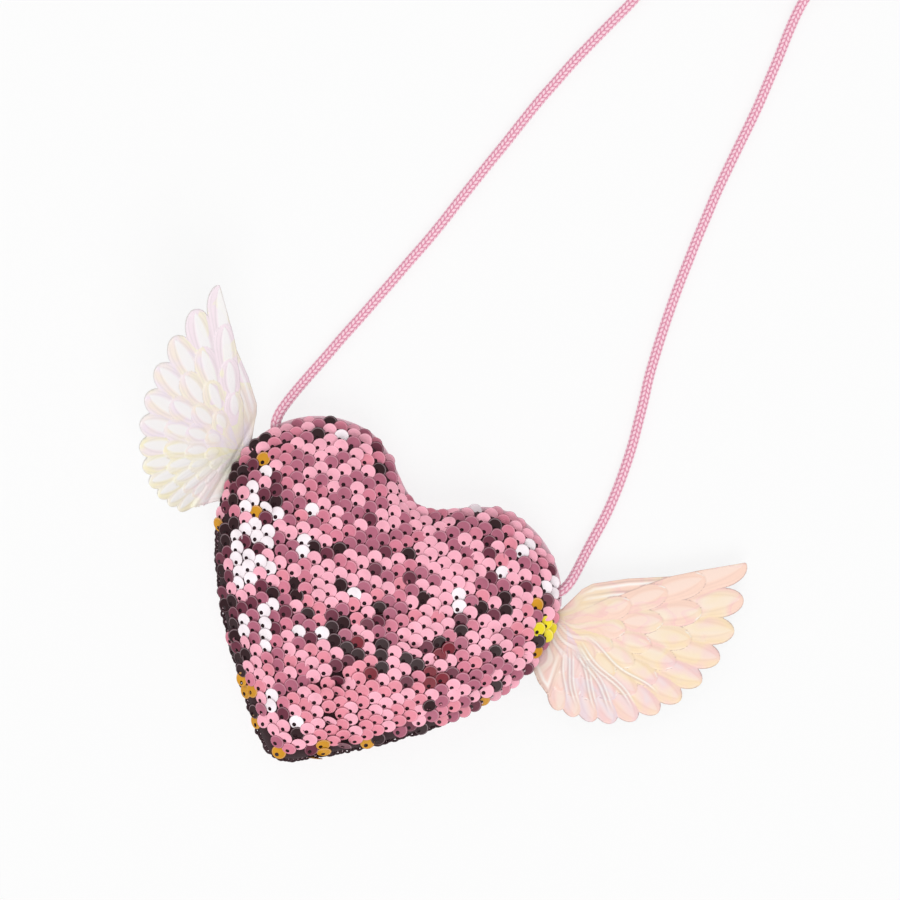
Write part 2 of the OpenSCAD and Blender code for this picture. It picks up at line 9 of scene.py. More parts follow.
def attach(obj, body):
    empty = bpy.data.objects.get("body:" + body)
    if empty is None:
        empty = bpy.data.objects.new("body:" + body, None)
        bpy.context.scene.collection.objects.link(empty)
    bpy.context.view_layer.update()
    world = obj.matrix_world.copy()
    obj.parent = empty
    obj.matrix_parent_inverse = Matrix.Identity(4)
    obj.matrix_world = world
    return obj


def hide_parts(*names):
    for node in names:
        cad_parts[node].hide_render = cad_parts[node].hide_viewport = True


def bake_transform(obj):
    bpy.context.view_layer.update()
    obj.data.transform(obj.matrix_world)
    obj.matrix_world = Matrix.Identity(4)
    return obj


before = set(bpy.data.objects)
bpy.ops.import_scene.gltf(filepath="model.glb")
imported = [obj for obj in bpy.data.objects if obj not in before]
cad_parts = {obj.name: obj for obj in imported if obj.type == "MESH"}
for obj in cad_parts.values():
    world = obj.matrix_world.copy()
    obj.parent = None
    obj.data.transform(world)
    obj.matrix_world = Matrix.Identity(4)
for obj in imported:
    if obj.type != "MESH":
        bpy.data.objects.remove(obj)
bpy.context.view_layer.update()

# Table top, light and camera. The photo looks straight down on the purse, turned by 30 degrees,
# and its frame is about 295 mm wide. The table top is clear when it is seen from below.
scene = bpy.context.scene
scene.view_settings.view_transform = "Standard"


def add_node(tree, kind, inputs=None, **settings):
    item = tree.nodes.new("ShaderNode" + kind)
    for key, value in settings.items():
        setattr(item, key, value)
    for key, value in (inputs or {}).items():
        if isinstance(value, bpy.types.NodeSocket):
            tree.links.new(value, item.inputs[key])
        else:
            item.inputs[key].default_value = value
    return item


def sums(tree, operation, a, b=0.0, c=0.0):
    return add_node(tree, "Math", {0: a, 1: b, 2: c}, operation=operation).outputs[0]


def start_material(name, roughness):
    """A new material, its node tree and its Principled node."""
    material = bpy.data.materials.new(name)
    material.use_nodes = True
    skin = material.node_tree.nodes["Principled BSDF"]
    skin.inputs["Roughness"].default_value = roughness
    return material, material.node_tree, skin


def as_mesh(name, bm):
    mesh = bpy.data.meshes.new(name)
    bm.to_mesh(mesh)
    bm.free()
    return mesh


view_centre = Vector((-0.00061, 0.05565, 0.010))
view_distance = 1.1066
lens_data = bpy.data.cameras.new("camera")
lens_data.lens = 135
lens_data.sensor_width = 36
camera = bpy.data.objects.new("camera", lens_data)
camera.location = view_centre + Vector((0, 0, view_distance))
camera.rotation_euler = (0, 0, math.radians(30))
scene.collection.objects.link(camera)
scene.camera = camera

world = bpy.data.worlds.new("studio")
scene.world = world
world.use_nodes = True
room = world.node_tree
path = add_node(room, "LightPath")
seen = sums(room, "MAXIMUM", path.outputs["Is Camera Ray"], path.outputs["Is Glossy Ray"])
seen = sums(room, "MAXIMUM", seen, path.outputs["Is Transmission Ray"])
level = add_node(room, "MapRange", {"Value": seen, "To Min": 0.65, "To Max": 1.0})
room.nodes["Background"].inputs["Color"].default_value = (1, 1, 1, 1)
room.links.new(level.outputs[0], room.nodes["Background"].inputs["Strength"])

for lamp_name, energy, spread, turn in (
    ("key_light", 0.95, 0.7, (0.5, 0.45, 0)), ("fill_light", 0.4, 1.2, (-0.35, -0.6, 0)),
):
    lamp_data = bpy.data.lights.new(lamp_name, "SUN")
    lamp_data.energy = energy
    lamp_data.angle = spread
    lamp = bpy.data.objects.new(lamp_name, lamp_data)
    lamp.rotation_euler = turn
    scene.collection.objects.link(lamp)

table_bm = bmesh.new()
bmesh.ops.create_grid(table_bm, x_segments=1, y_segments=1, size=3)
table = bpy.data.objects.new("table_top", as_mesh("table_top", table_bm))
table.location = (0, 0, -0.0002)
scene.collection.objects.link(table)
paper, tree, skin = start_material("white_paper", 0.9)
skin.inputs["Base Color"].default_value = (0.9, 0.9, 0.9, 1)
glow = add_node(tree, "Emission", {"Color": (1, 1, 1, 1), "Strength": 1.0})
path = add_node(tree, "LightPath")
share = sums(tree, "MULTIPLY", path.outputs["Is Camera Ray"], 0.8)
lit = add_node(tree, "MixShader", {0: share, 1: skin.outputs[0], 2: glow.outputs[0]})
below = add_node(tree, "NewGeometry")
clear = add_node(tree, "BsdfTransparent")
both = add_node(tree, "MixShader", {
    0: below.outputs["Backfacing"], 1: lit.outputs[0], 2: clear.outputs[0]})
tree.links.new(both.outputs[0], tree.nodes["Material Output"].inputs["Surface"])
table.data.materials.append(paper)

# Neck cord: one round braid of pink yarn, 3.6 mm thick, whose ends are caught in the side seams.
# A tube of braided stitches follows its whole route; the unseen length is coiled and tied.
MM = 0.001
cord_d = 3.6
cord_step = 0.42
cord_tail_len = 4
exit_x, exit_y, exit_z = 53.4, 32.6, 8
exit_angle = math.pi / 3
right_route = [
    (53.4, 32.6, 8), (54.6, 34.7, 7.9), (55.3, 38, 7.3), (55.4, 42, 5.9), (55.2, 48, 3.6),
    (55, 55, 2.2), (54.8, 62, 1.8), (54, 70, 1.8), (52.7, 78, 1.8), (50.8, 87, 1.8),
    (48.6, 95, 1.8), (46.6, 102, 1.8), (44.4, 109, 1.8), (42.4, 117, 1.8), (40.6, 125, 1.8),
    (39, 133, 1.8), (37.6, 141, 1.8), (36.4, 149, 1.8), (35.2, 157, 1.8), (34.2, 165, 1.8),
    (33.2, 173, 1.8), (32.5, 181, 1.8), (31.9, 189, 1.8), (31.3, 198, 1.8), (30.6, 206, 1.8),
    (29.6, 214, 1.8), (28.6, 222, 1.8), (27.4, 230, 1.8), (26.6, 237, 1.9), (26.4, 243, 2.6),
    (27, 249, 3.9), (28.2, 255, 5.5), (28.9, 260, 6.3),
]
left_route = [
    (-53.4, 32.6, 8), (-54.6, 34.7, 7.9), (-55.2, 38, 7.3), (-55, 42, 5.9), (-54.2, 48, 3.6),
    (-52.9, 55, 2.2), (-51.5, 62, 1.8), (-50, 70, 1.8), (-48.3, 78, 1.8), (-46.5, 87, 1.8),
    (-44.9, 95, 1.8), (-43.4, 103, 1.8), (-41.8, 111, 1.8), (-40.3, 120, 1.8), (-39.2, 128, 1.8),
    (-38, 136, 1.8), (-36.8, 144, 1.8), (-35.5, 152, 1.8), (-34.2, 161, 1.8), (-32.8, 170, 1.8),
    (-31.2, 178, 1.8), (-29.4, 187, 1.8), (-27.2, 196, 1.8), (-24.9, 205, 1.8), (-22.8, 213, 1.8),
    (-21.2, 221, 1.8), (-20, 229, 1.8), (-19.3, 238, 1.9), (-19, 247, 2.1), (-19, 256, 2.3),
]
coil_r = 24
coil_pitch = 4.1
coil_turns = 4.5
coil_steps = 24
coil_centre = (5, 268)
coil_low_z = 2.35


def coil_point(turn):
    """A place on the coil, which winds in on one layer, climbs in the middle and winds out above."""
    radius = coil_r - coil_pitch * min(turn, coil_turns - turn)
    angle = math.pi - 2 * math.pi * turn
    climb = min(1, max(0, 2 * (turn - coil_turns / 2) + 0.5))
    return (coil_centre[0] + radius * math.cos(angle), coil_centre[1] + radius * math.sin(angle),
            coil_low_z + coil_pitch * climb)


coil = [coil_point(i / coil_steps) for i in range(int(coil_steps * coil_turns) + 1)]
coil_in = (coil[0][0], coil[0][1] - cord_d, coil[0][2])
coil_out = (coil[-1][0], coil[-1][1] - cord_d, coil[-1][2])
tail_x = cord_tail_len * math.cos(exit_angle)
tail_y = cord_tail_len * math.sin(exit_angle)
cord_points = (
    [(exit_x - tail_x, exit_y - tail_y, exit_z)] + right_route + [coil_out] + coil[::-1] + [coil_in]
    + left_route[::-1] + [(-exit_x + tail_x, exit_y - tail_y, exit_z)]
)


def smooth_line(points, step):
    """A round curve through the points, with a point at every step of its length, and its length."""
    p = np.array(points, float)
    p = np.vstack([2 * p[0] - p[1], p, 2 * p[-1] - p[-2]])
    t = np.linspace(0, 1, 24, endpoint=False)[:, None]
    parts = [
        0.5 * (2 * b + (c - a) * t + (2 * a - 5 * b + 4 * c - d) * t ** 2
               + (3 * b - a - 3 * c + d) * t ** 3)
        for a, b, c, d in zip(p[:-3], p[1:-2], p[2:-1], p[3:])
    ]
    line = np.vstack(parts + [p[-2:-1]])
    run = np.concatenate([[0], np.cumsum(np.linalg.norm(np.diff(line, axis=0), axis=1))])
    at = np.linspace(0, run[-1], int(round(run[-1] / step)) + 1)
    return np.stack([np.interp(at, run, line[:, k]) for k in range(3)], axis=1), run[-1]


def flat_grid(columns, rows):
    """A flat grid from 0 to 1 both ways, with a UV map of the same numbers."""
    bm = bmesh.new()
    bmesh.ops.create_grid(bm, x_segments=columns, y_segments=rows, size=0.5)
    bmesh.ops.translate(bm, vec=(0.5, 0.5, 0), verts=bm.verts)
    chart = bm.loops.layers.uv.new("chart")
    for face in bm.faces:
        for loop in face.loops:
            loop[chart].uv = loop.vert.co.xy
    return bm


def lay_out(bm, place):
    """Moves each point of a grid to the place, in mm, that a function of the grid gives."""
    flat = np.array([vert.co for vert in bm.verts])
    for vert, spot in zip(bm.verts, place(flat[:, 0], flat[:, 1])):
        vert.co = Vector(spot) * MM


def weld(bm):
    bmesh.ops.remove_doubles(bm, verts=bm.verts, dist=2e-6)


def add_piece(name, bm, material, nodes=(), body="root", smooth=True, open_up=None):
    """Makes a finished piece. An open sheet is turned so that it faces the way open_up says."""
    weld(bm)
    bmesh.ops.recalc_face_normals(bm, faces=bm.faces)
    if open_up is not None:
        total = sum((face.normal * face.calc_area() for face in bm.faces), Vector())
        if total.dot(Vector(open_up)) < 0:
            bmesh.ops.reverse_faces(bm, faces=bm.faces)
    for face in bm.faces:
        face.smooth = smooth
    mesh = as_mesh(name, bm)
    mesh.materials.append(material)
    piece = bpy.data.objects.new(name, mesh)
    scene.collection.objects.link(piece)
    if body:
        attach(piece, body)
    if nodes:
        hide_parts(*nodes)
    return piece


cord_line, cord_len = smooth_line(cord_points, cord_step)
cord_last = len(cord_line) - 1
cord_sides = 24
stitch_len = 1.67
stitch_columns = 8
stitch_slant = 0.55
yarn_swell = 0.22


def braid(around, along):
    """Height of the yarn, from 0 in the gaps to 1, at a share round the cord and a run in mm."""
    column = np.floor(around * stitch_columns)
    across = around * stitch_columns - column
    lean = np.where(column % 2 == 0, 1, -1) * (across - 0.5) * stitch_slant
    phase = (along / stitch_len + lean + 0.25 * (column % 2)) % 1
    return (np.sin(np.pi * across) ** 0.6) * (np.sin(np.pi * phase) ** 0.6)


def cord_place(u, v):
    index = np.clip(np.round(v * cord_last).astype(int), 0, cord_last)
    ahead = cord_line[np.minimum(index + 1, cord_last)]
    along = ahead - cord_line[np.maximum(index - 1, 0)]
    along /= np.linalg.norm(along, axis=1)[:, None]
    side = np.cross(along, [0, 0, 1])
    side /= np.linalg.norm(side, axis=1)[:, None]
    upright = np.cross(side, along)
    radius = cord_d / 2 - yarn_swell * (1 - braid(u % 1, v * cord_len))
    angle = 2 * np.pi * u
    offset = np.cos(angle)[:, None] * side + np.sin(angle)[:, None] * upright
    return cord_line[index] + radius[:, None] * offset


cord_bm = flat_grid(cord_sides, cord_last)
lay_out(cord_bm, cord_place)
weld(cord_bm)
bmesh.ops.holes_fill(cord_bm, edges=[e for e in cord_bm.edges if e.is_boundary], sides=cord_sides)


def dye(red, green, blue):
    """A colour as it is seen, each part from 0 to 255."""
    shares = (red / 255, green / 255, blue / 255)
    return tuple(c / 12.92 if c < 0.04 else ((c + 0.055) / 1.055) ** 2.4 for c in shares) + (1,)


def noise(tree, lumps, detail, bend=0.0):
    """Noise in the object's own space, with about this many lumps in a metre."""
    spot = add_node(tree, "TexCoord")
    return add_node(tree, "TexNoise", {"Vector": spot.outputs["Object"], "Scale": lumps,
                                       "Detail": detail, "Distortion": bend}).outputs[0]


def shades(tree, value, colours, low=0.0, high=1.0, interpolation="LINEAR"):
    """Evenly spaced colours between a low and a high value."""
    ramp = add_node(tree, "ValToRGB", {0: value})
    ramp.color_ramp.interpolation = interpolation
    stops = ramp.color_ramp.elements
    while len(stops) < len(colours):
        stops.new(1.0)
    steps = len(colours) if interpolation == "CONSTANT" else len(colours) - 1
    for i, colour in enumerate(colours):
        stops[i].position = low + (high - low) * i / steps
        stops[i].color = dye(*colour)
    return ramp.outputs[0]


yarn, tree, skin = start_material("pink_braid", 0.75)
skin.inputs["Sheen Weight"].default_value = 0.25
chart = add_node(tree, "UVMap", uv_map="chart")
parts = add_node(tree, "SeparateXYZ", {0: chart.outputs[0]})
spread = sums(tree, "MULTIPLY", parts.outputs[0], stitch_columns)
column = sums(tree, "FLOOR", spread)
across = sums(tree, "SUBTRACT", spread, column)
odd = sums(tree, "MODULO", column, 2.0)
turn = sums(tree, "MULTIPLY_ADD", odd, -2.0, 1.0)
lean = sums(tree, "MULTIPLY", sums(tree, "SUBTRACT", across, 0.5), stitch_slant)
run = sums(tree, "MULTIPLY", parts.outputs[1], cord_len / stitch_len)
slanted = sums(tree, "MULTIPLY_ADD", turn, lean, run)
phase = sums(tree, "FRACT", sums(tree, "ADD", slanted, sums(tree, "MULTIPLY", odd, 0.25)))
swell_across = sums(tree, "SINE", sums(tree, "MULTIPLY", across, math.pi))
swell_along = sums(tree, "SINE", sums(tree, "MULTIPLY", phase, math.pi))
crest = sums(tree, "MULTIPLY", swell_across, swell_along)
# The yarn's pink is painted darker in the gaps between stitches and paler on their crests: painted shade
# in the gaps and painted highlight on the crests.
painted_yarn_shading = ((208, 124, 152), (238, 164, 188), (248, 190, 208), (253, 206, 220), (255, 220, 231))
tree.links.new(shades(tree, crest, painted_yarn_shading, 0.0, 0.8), skin.inputs["Base Color"])
height = sums(tree, "MULTIPLY_ADD", noise(tree, 2500.0, 3.0), 0.2, crest)
bump = add_node(tree, "Bump", {"Height": height, "Distance": 0.00012, "Strength": 0.7})
tree.links.new(bump.outputs[0], skin.inputs["Normal"])

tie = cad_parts["cord_tie"]
band, tree, skin = start_material("paper_band", 0.7)
paper_tone = shades(tree, noise(tree, 900.0, 4.0), ((238, 230, 228), (252, 248, 246)), 0.3, 0.7)
tree.links.new(paper_tone, skin.inputs["Base Color"])
tie.material_slots[0].material = band

neck_cord = add_piece("neck_cord", cord_bm, yarn, ("cord_right", "cord_left", "cord_coil"))

# Sewn heart. Both faces are one heart outline that swells up to the front and rolls in at the back.
# The front's base cloth is a dark net backed cloth, which shows in the gaps between the sequins.
half_w, heart_h = 58.0, 105.6
lobe_top = 0.435
cleft = lobe_top - 12.6 / heart_h
crown_rise, front_rim_z = 16.0, 8.75
mean_r = (2 * half_w + heart_h) / 4
heart_handles = (
    ((0, cleft), (0.14, cleft), (0.27, lobe_top), (0.475, lobe_top)),
    ((0.475, lobe_top), (0.76, lobe_top), (1, 0.31), (1, 0.15)),
    ((1, 0.15), (1, -0.11), (0.54, -0.345), (0.155, -0.522)),
    ((0.155, -0.522), (0.1, -0.548), (0.055, lobe_top - 1), (0, lobe_top - 1)),
)


def even_outline(count):
    """Points at even steps round the heart, from the cleft round the right lobe."""
    t = np.linspace(0, 1, 80, endpoint=False)[:, None]
    right = np.vstack([
        (1 - t) ** 3 * a + 3 * (1 - t) ** 2 * t * b + 3 * (1 - t) * t * t * c + t ** 3 * d
        for a, b, c, d in (np.array(h, float) for h in heart_handles)
    ] + [[[0, lobe_top - 1]]]) * [half_w, heart_h]
    line = np.vstack([right, right[-2::-1] * [-1, 1]])
    run = np.concatenate([[0], np.cumsum(np.linalg.norm(np.diff(line, axis=0), axis=1))])
    at = np.linspace(0, run[-1], count + 1)
    return np.stack([np.interp(at, run, line[:, k]) for k in range(2)], axis=1)


def along_edge(u, steps):
    """The points of the outline at shares of its length, each taken at one of so many even steps."""
    return even_outline(steps)[np.clip(np.round(u * steps).astype(int), 0, steps)]


def crown(share):
    """Height of the front's swell at a share of the way out, from 1 in the middle to 0 at the seam."""
    return np.sqrt(np.maximum(0, 1 - np.clip(share, 0, 1) ** 2.5))


cloth_steps = 240


def front_place(depth):
    """Lays a grid over the front, at a depth in mm under the base cloth's face."""
    def place(u, v):
        share = 1 - (1 - v) ** 1.6
        inset = 1 - depth / mean_r
        z = front_rim_z + (crown_rise - depth) * crown(share)
        return np.column_stack([along_edge(u, cloth_steps) * (share * inset)[:, None], z])
    return place


def thicken(piece, thickness):
    """Gives a sheet its thickness, in mm, behind the face that it shows."""
    wall = piece.modifiers.new("thickness", "SOLIDIFY")
    wall.thickness = thickness * MM
    wall.offset = -1


def cloth_material(name, light, dark, thread, relief, roughness, sheen):
    """Plain weave of threads, on Object coordinates, in two shades of one colour."""
    material, tree, skin = start_material(name, roughness)
    skin.inputs["Sheen Weight"].default_value = sheen
    weave = add_node(tree, "Group", node_tree=weave_group)
    weave.inputs["Thread"].default_value = thread
    mixed = sums(tree, "MULTIPLY_ADD", noise(tree, 60.0, 3.0), 0.35, weave.outputs["Height"])
    tree.links.new(shades(tree, mixed, (dark, light)), skin.inputs["Base Color"])
    bump = add_node(tree, "Bump", {"Height": weave.outputs["Height"], "Distance": relief * MM,
                                   "Strength": 0.6})
    tree.links.new(bump.outputs[0], skin.inputs["Normal"])
    return material


weave_group = bpy.data.node_groups.new("weave", "ShaderNodeTree")
weave_group.interface.new_socket("Thread", in_out="INPUT", socket_type="NodeSocketFloat")
weave_group.interface.new_socket("Height", in_out="OUTPUT", socket_type="NodeSocketFloat")
entry = weave_group.nodes.new("NodeGroupInput")
leave = weave_group.nodes.new("NodeGroupOutput")
spot = add_node(weave_group, "TexCoord")
axes = add_node(weave_group, "SeparateXYZ", {0: spot.outputs["Object"]})
warp, weft = (
    sums(weave_group, "SINE", sums(weave_group, "MULTIPLY", axes.outputs[k], entry.outputs["Thread"]))
    for k in range(2)
)
cross_over = sums(weave_group, "MULTIPLY", warp, weft)
weave_group.links.new(sums(weave_group, "MULTIPLY_ADD", cross_over, 0.5, 0.5), leave.inputs["Height"])

dark_cloth = cloth_material("dark_base_cloth", (50, 14, 25), (20, 4, 9), 9000.0, 0.05, 0.9, 0.03)
front_bm = flat_grid(cloth_steps, 36)
lay_out(front_bm, front_place(0))
front_cloth = add_piece("front_base_cloth", front_bm, dark_cloth, ("front_cloth",),
                        open_up=(0, 0, 1))
thicken(front_cloth, 0.8)

# Sequins: thin round plastic discs, 5 mm across, each sewn on by a hole near its lower edge, so that
# every row lies over the row above. Their faces are foil in mixed pinks with painted reflections, and
# their backs are gold.
row_gap, sequin_gap = 3.3, 4.56
sequin_r, hole_r, hole_low = 2.5, 0.7, 1.2
sequin_t, sequin_bevel, sequin_dish = 0.14, 0.18, 0.012
sequin_sides = 16
# Pale discs are painted highlights, and dark and plum ones are painted dark reflections and shade. Light,
# warm, rose, mauve and red are the foil's pinks, and gold and lemon are the backs.
sequin_tones = {
    "pale": (255, 244, 249), "light": (251, 178, 196), "warm": (233, 143, 160), "rose": (216, 128, 149),
    "mauve": (178, 102, 124), "plum": (108, 48, 66), "dark": (42, 12, 19), "red": (124, 34, 48),
    "gold": (212, 150, 34), "lemon": (242, 222, 40),
}
tone_names = list(sequin_tones)
outline = even_outline(360)
outline_angle = np.unwrap(np.arctan2(outline[:, 1], outline[:, 0]))
outline_reach = np.hypot(outline[:, 0], outline[:, 1])


def reach_towards(x, y):
    """Distance from the middle to the heart's edge in the direction of a point."""
    angle = np.arctan2(y, x)
    return np.interp(angle, outline_angle[::-1], outline_reach[::-1], period=2 * np.pi)


def meridian(reach):
    """Shares of the way from the front's middle to its edge, and the length over the crown to each."""
    share = np.linspace(0, 1, 90) ** 0.8
    step = np.hypot(np.diff(share) * reach, np.diff(crown_rise * crown(share)))
    return share, np.concatenate([[0], np.cumsum(step)])


def on_front(flat_x, flat_y):
    """Where a point of the flat cloth lies on the crowned front, its share of the way from the middle
    to the edge, and whether it is past the edge."""
    reach = float(reach_towards(flat_x, flat_y))
    shares, run = meridian(reach)
    along = math.hypot(flat_x, flat_y)
    share = float(np.interp(along, run, shares))
    unit = Vector((flat_x, flat_y, 0)) / max(along, 1e-9)
    top = unit * (share * reach)
    top.z = front_rim_z + crown_rise * float(crown(share))
    return top, share, along > run[-1] * 0.995


disc_bm = bmesh.new()
rim_mark = disc_bm.verts.layers.float.new("rim")
outer = bmesh.ops.create_circle(disc_bm, segments=sequin_sides, radius=sequin_r)["verts"]
for vert in outer:
    vert[rim_mark] = 1.0
bmesh.ops.create_circle(disc_bm, segments=sequin_sides, radius=hole_r,
                        matrix=Matrix.Translation((0, -hole_low, 0)))
bmesh.ops.bridge_loops(disc_bm, edges=disc_bm.edges[:])
grown = bmesh.ops.extrude_face_region(disc_bm, geom=disc_bm.faces[:], use_keep_orig=True)["geom"]
top_verts = [g for g in grown if isinstance(g, bmesh.types.BMVert)]
bmesh.ops.translate(disc_bm, vec=(0, 0, sequin_t), verts=top_verts)
for vert in top_verts:
    if vert.co.xy.length > sequin_r * 0.9:
        vert.co.xy *= 1 - sequin_bevel / sequin_r
        vert[rim_mark] = 0.5
for vert in disc_bm.verts:
    vert.co.z += sequin_dish * vert.co.xy.length_squared
bmesh.ops.recalc_face_normals(disc_bm, faces=disc_bm.faces)
disc_mesh = as_mesh("disc_pattern", disc_bm)

# Patches of the front where one tone gathers; their pale discs are painted highlights and their dark
# and plum ones painted shade and dark reflections: middle x, y, half width, half height, turn, tones
tone_patches = (
    (-53.5, 5, 4, 19, 8, ("dark", "dark", "plum", "dark", "rose")),
    (-43, -22, 4, 22, 45, ("dark", "plum", "dark", "light", "dark")),
    (-39, 32, 11, 6, 20, ("mauve", "rose", "mauve", "light", "mauve")),
    (-43, 2, 6.5, 20, 14, ("pale", "pale", "pale", "light", "plum", "pale")),
    (-32, -16, 7, 20, 38, ("pale", "light", "pale", "mauve", "plum", "light")),
    (12, -16, 23, 5, 12, ("dark", "dark", "plum", "red", "light")),
    (30, -6, 9, 7, 0, ("dark", "red", "plum", "light", "light")),
    (33, 24, 13, 4, -30, ("dark", "plum", "light", "mauve")),
    (16, 22, 10, 12, 0, ("light", "mauve", "light", "light")),
    (16, -30, 20, 14, 40, ("warm", "warm", "warm", "light")),
    (-14, 26, 18, 12, 0, ("mauve", "light", "rose", "mauve", "light")),
)
# Places on the rim where discs are flipped and show their gold back, and one of pale discs that are a
# painted highlight: x, y, reach, tones
flipped_places = (
    (-50, 22, 2.4, ("gold",)), (-45, 8, 2.4, ("gold",)), (-55, -5, 3.4, ("gold",)),
    (-46, -21, 3.2, ("gold",)), (-33, -36, 2.4, ("gold",)), (-38, -31, 3.4, ("gold",)),
    (-20, -46, 3.4, ("gold",)), (-11, -53, 2.6, ("gold",)), (0, -57, 3, ("gold",)),
    (12, -50, 3.4, ("gold",)), (25, -41, 2.6, ("gold",)), (50.5, 26, 2.4, ("gold",)),
    (55, 20, 3.6, ("lemon",)), (56, 13, 2.6, ("gold",)), (51, 33, 4, ("pale",)),
    (49, -9, 2.6, ("gold",)),
)
# Where the rim starts, as a share of the way from the middle, for three things: discs painted dark as
# shade on the bare side, places there with no disc, and discs that are turned outwards
rim_shade_from, empty_from, outward_from = 0.94, 0.95, 0.93
stray_from, stray_lift = 0.985, 40
seed = random.Random(7)


def bare_side(x, y):
    """Whether a place is round the point or up the left, where the sequins stop short of the seam."""
    return 0.5 * x + 0.87 * y < -2 or (x < 0 and y < 20)


def tone_at(x, y, share):
    """The tone of a disc at a place: flipped places, then painted shade on the bare side, then the
    patches.
    """
    for mid_x, mid_y, reach, tones in flipped_places:
        if share > 0.7 and math.hypot(x - mid_x, y - mid_y) < reach:
            return seed.choice(tones)
    # On the bare side the rim's discs stand edge-on and are mostly painted dark: painted shade.
    if share > rim_shade_from and bare_side(x, y):
        return seed.choice(("dark", "dark", "rose", "plum", "light"))
    for mid_x, mid_y, wide, high, turn, tones in tone_patches:
        c = math.cos(math.radians(turn))
        s = math.sin(math.radians(turn))
        a = (x - mid_x) * c + (y - mid_y) * s
        b = (y - mid_y) * c - (x - mid_x) * s
        if (a / wide) ** 2 + (b / high) ** 2 < 1 and seed.random() < 0.82:
            return seed.choice(tones)
    # Elsewhere a random mix of the foil's pinks, with pale painted highlights and dark painted
    # reflections.
    return seed.choices(("light", "rose", "mauve", "plum", "dark", "pale", "warm"),
                        (47, 12, 18, 7, 7, 4, 6))[0]


def rim_lie(seat, share):
    """How far a disc near the rim lies down over it: least on the left, and not in the cleft."""
    if abs(seat.x) < 12 and seat.y > 20:
        return 0.0
    outward = seat.xy.normalized()
    most = 0.85 * min(1.0, max(0.0, 0.75 + 1.2 * (0.6 * outward.x + 0.8 * outward.y)))
    if abs(seat.x) > 45 and -2 < seat.y < 33:
        most = min(most, 0.3)
    return most * min(1.0, max(0.0, (share - 0.84) / 0.12))


def turned(degrees, axis):
    return Matrix.Rotation(math.radians(degrees), 4, axis)


def stamp(bm, pattern, place):
    """Adds a copy of a small mesh at a place in mm, and gives its new points."""
    first = len(bm.verts)
    bm.from_mesh(pattern)
    bm.verts.ensure_lookup_table()
    fresh = bm.verts[first:]
    bmesh.ops.transform(bm, matrix=Matrix.Scale(MM, 4) @ place, verts=fresh)
    return fresh


sequin_bm = bmesh.new()
tone_mark = sequin_bm.verts.layers.float.new("tone")
sequin_bm.verts.layers.float.new("rim")
to_hole = Matrix.Translation((0, -hole_low, 0))
for row in range(-26, 24):
    for place_in_row in range(-19, 20):
        flat_x = (place_in_row + 0.5 * (row % 2)) * sequin_gap + seed.uniform(-0.25, 0.25)
        flat_y = row * row_gap + seed.uniform(-0.2, 0.2)
        spin = seed.uniform(-25, 25)
        lift = seed.gauss(7, 3)
        sway = seed.gauss(0, 4)
        wild = seed.random()
        outward = seed.uniform(8, 34)
        seat, share, past = on_front(flat_x, flat_y)
        if past or on_front(flat_x, flat_y - hole_low - hole_r)[2]:
            continue
        over = on_front(flat_x + 0.4, flat_y)[0] - seat
        up = on_front(flat_x, flat_y + 0.4)[0] - seat
        lie = rim_lie(seat, share)
        normal = over.cross(up).normalized().lerp(Vector((0, 0, 1)), lie).normalized()
        up = (up - normal * up.dot(normal)).normalized()
        lean = Matrix((up.cross(normal), up, normal)).transposed().to_4x4()
        tone = tone_at(seat.x, seat.y, share)
        empty_share = 0.2 if seat.x < -25 else 0.7
        if share > empty_from and bare_side(seat.x, seat.y) and tone != "gold" and wild < empty_share:
            continue
        if share > outward_from and lie < 0.4:
            edge = Vector((seat.x, seat.y, 0)).normalized().cross(Vector((0, 0, 1)))
            lean = turned(outward, edge) @ lean
        if wild > stray_from:
            lift = stray_lift
        turn = turned(lift, "X") @ turned(sway, "Y") @ turned(spin, "Z")
        place = Matrix.Translation(seat + normal * 0.3) @ lean @ to_hole @ turn @ to_hole.inverted()
        for vert in stamp(sequin_bm, disc_mesh, place):
            vert[tone_mark] = (tone_names.index(tone) + 0.5) / len(tone_names)


def mix_colours(tree, share, under, over):
    return add_node(tree, "Mix", {0: share, 6: under, 7: over}, data_type="RGBA").outputs[2]


foil, tree, skin = start_material("sequin_foil", 0.3)
skin.inputs["Specular IOR Level"].default_value = 0.2
tone = add_node(tree, "Attribute", attribute_name="tone")
foil_tone = shades(tree, tone.outputs["Fac"], list(sequin_tones.values()), interpolation="CONSTANT")
rim = add_node(tree, "Attribute", attribute_name="rim")
# A thin pale ring along the top face's outer edge is a painted highlight.
glint = sums(tree, "COMPARE", rim.outputs["Fac"], 0.47, 0.035)
lit = mix_colours(tree, sums(tree, "MULTIPLY", glint, 0.18), foil_tone, dye(255, 226, 234))
# The slanted outer wall is painted dark: painted shadow lines round each disc.
cut = add_node(tree, "MapRange", {"Value": rim.outputs["Fac"], "From Min": 0.55, "From Max": 0.9,
                                  "To Max": 0.62})
edge = mix_colours(tree, cut.outputs[0], lit, dye(88, 28, 44))
# Noise some 4 mm across makes the discs lighter and darker: painted reflections.
shade = add_node(tree, "MapRange", {"Value": noise(tree, 220.0, 1.0), "To Min": 0.84, "To Max": 1.22})
reflection_shaded = add_node(tree, "VectorMath", {0: edge, 3: shade.outputs[0]}, operation="SCALE")
tree.links.new(reflection_shaded.outputs[0], skin.inputs["Base Color"])
add_piece("sequins", sequin_bm, foil, ("sequin_layer",), smooth=False)

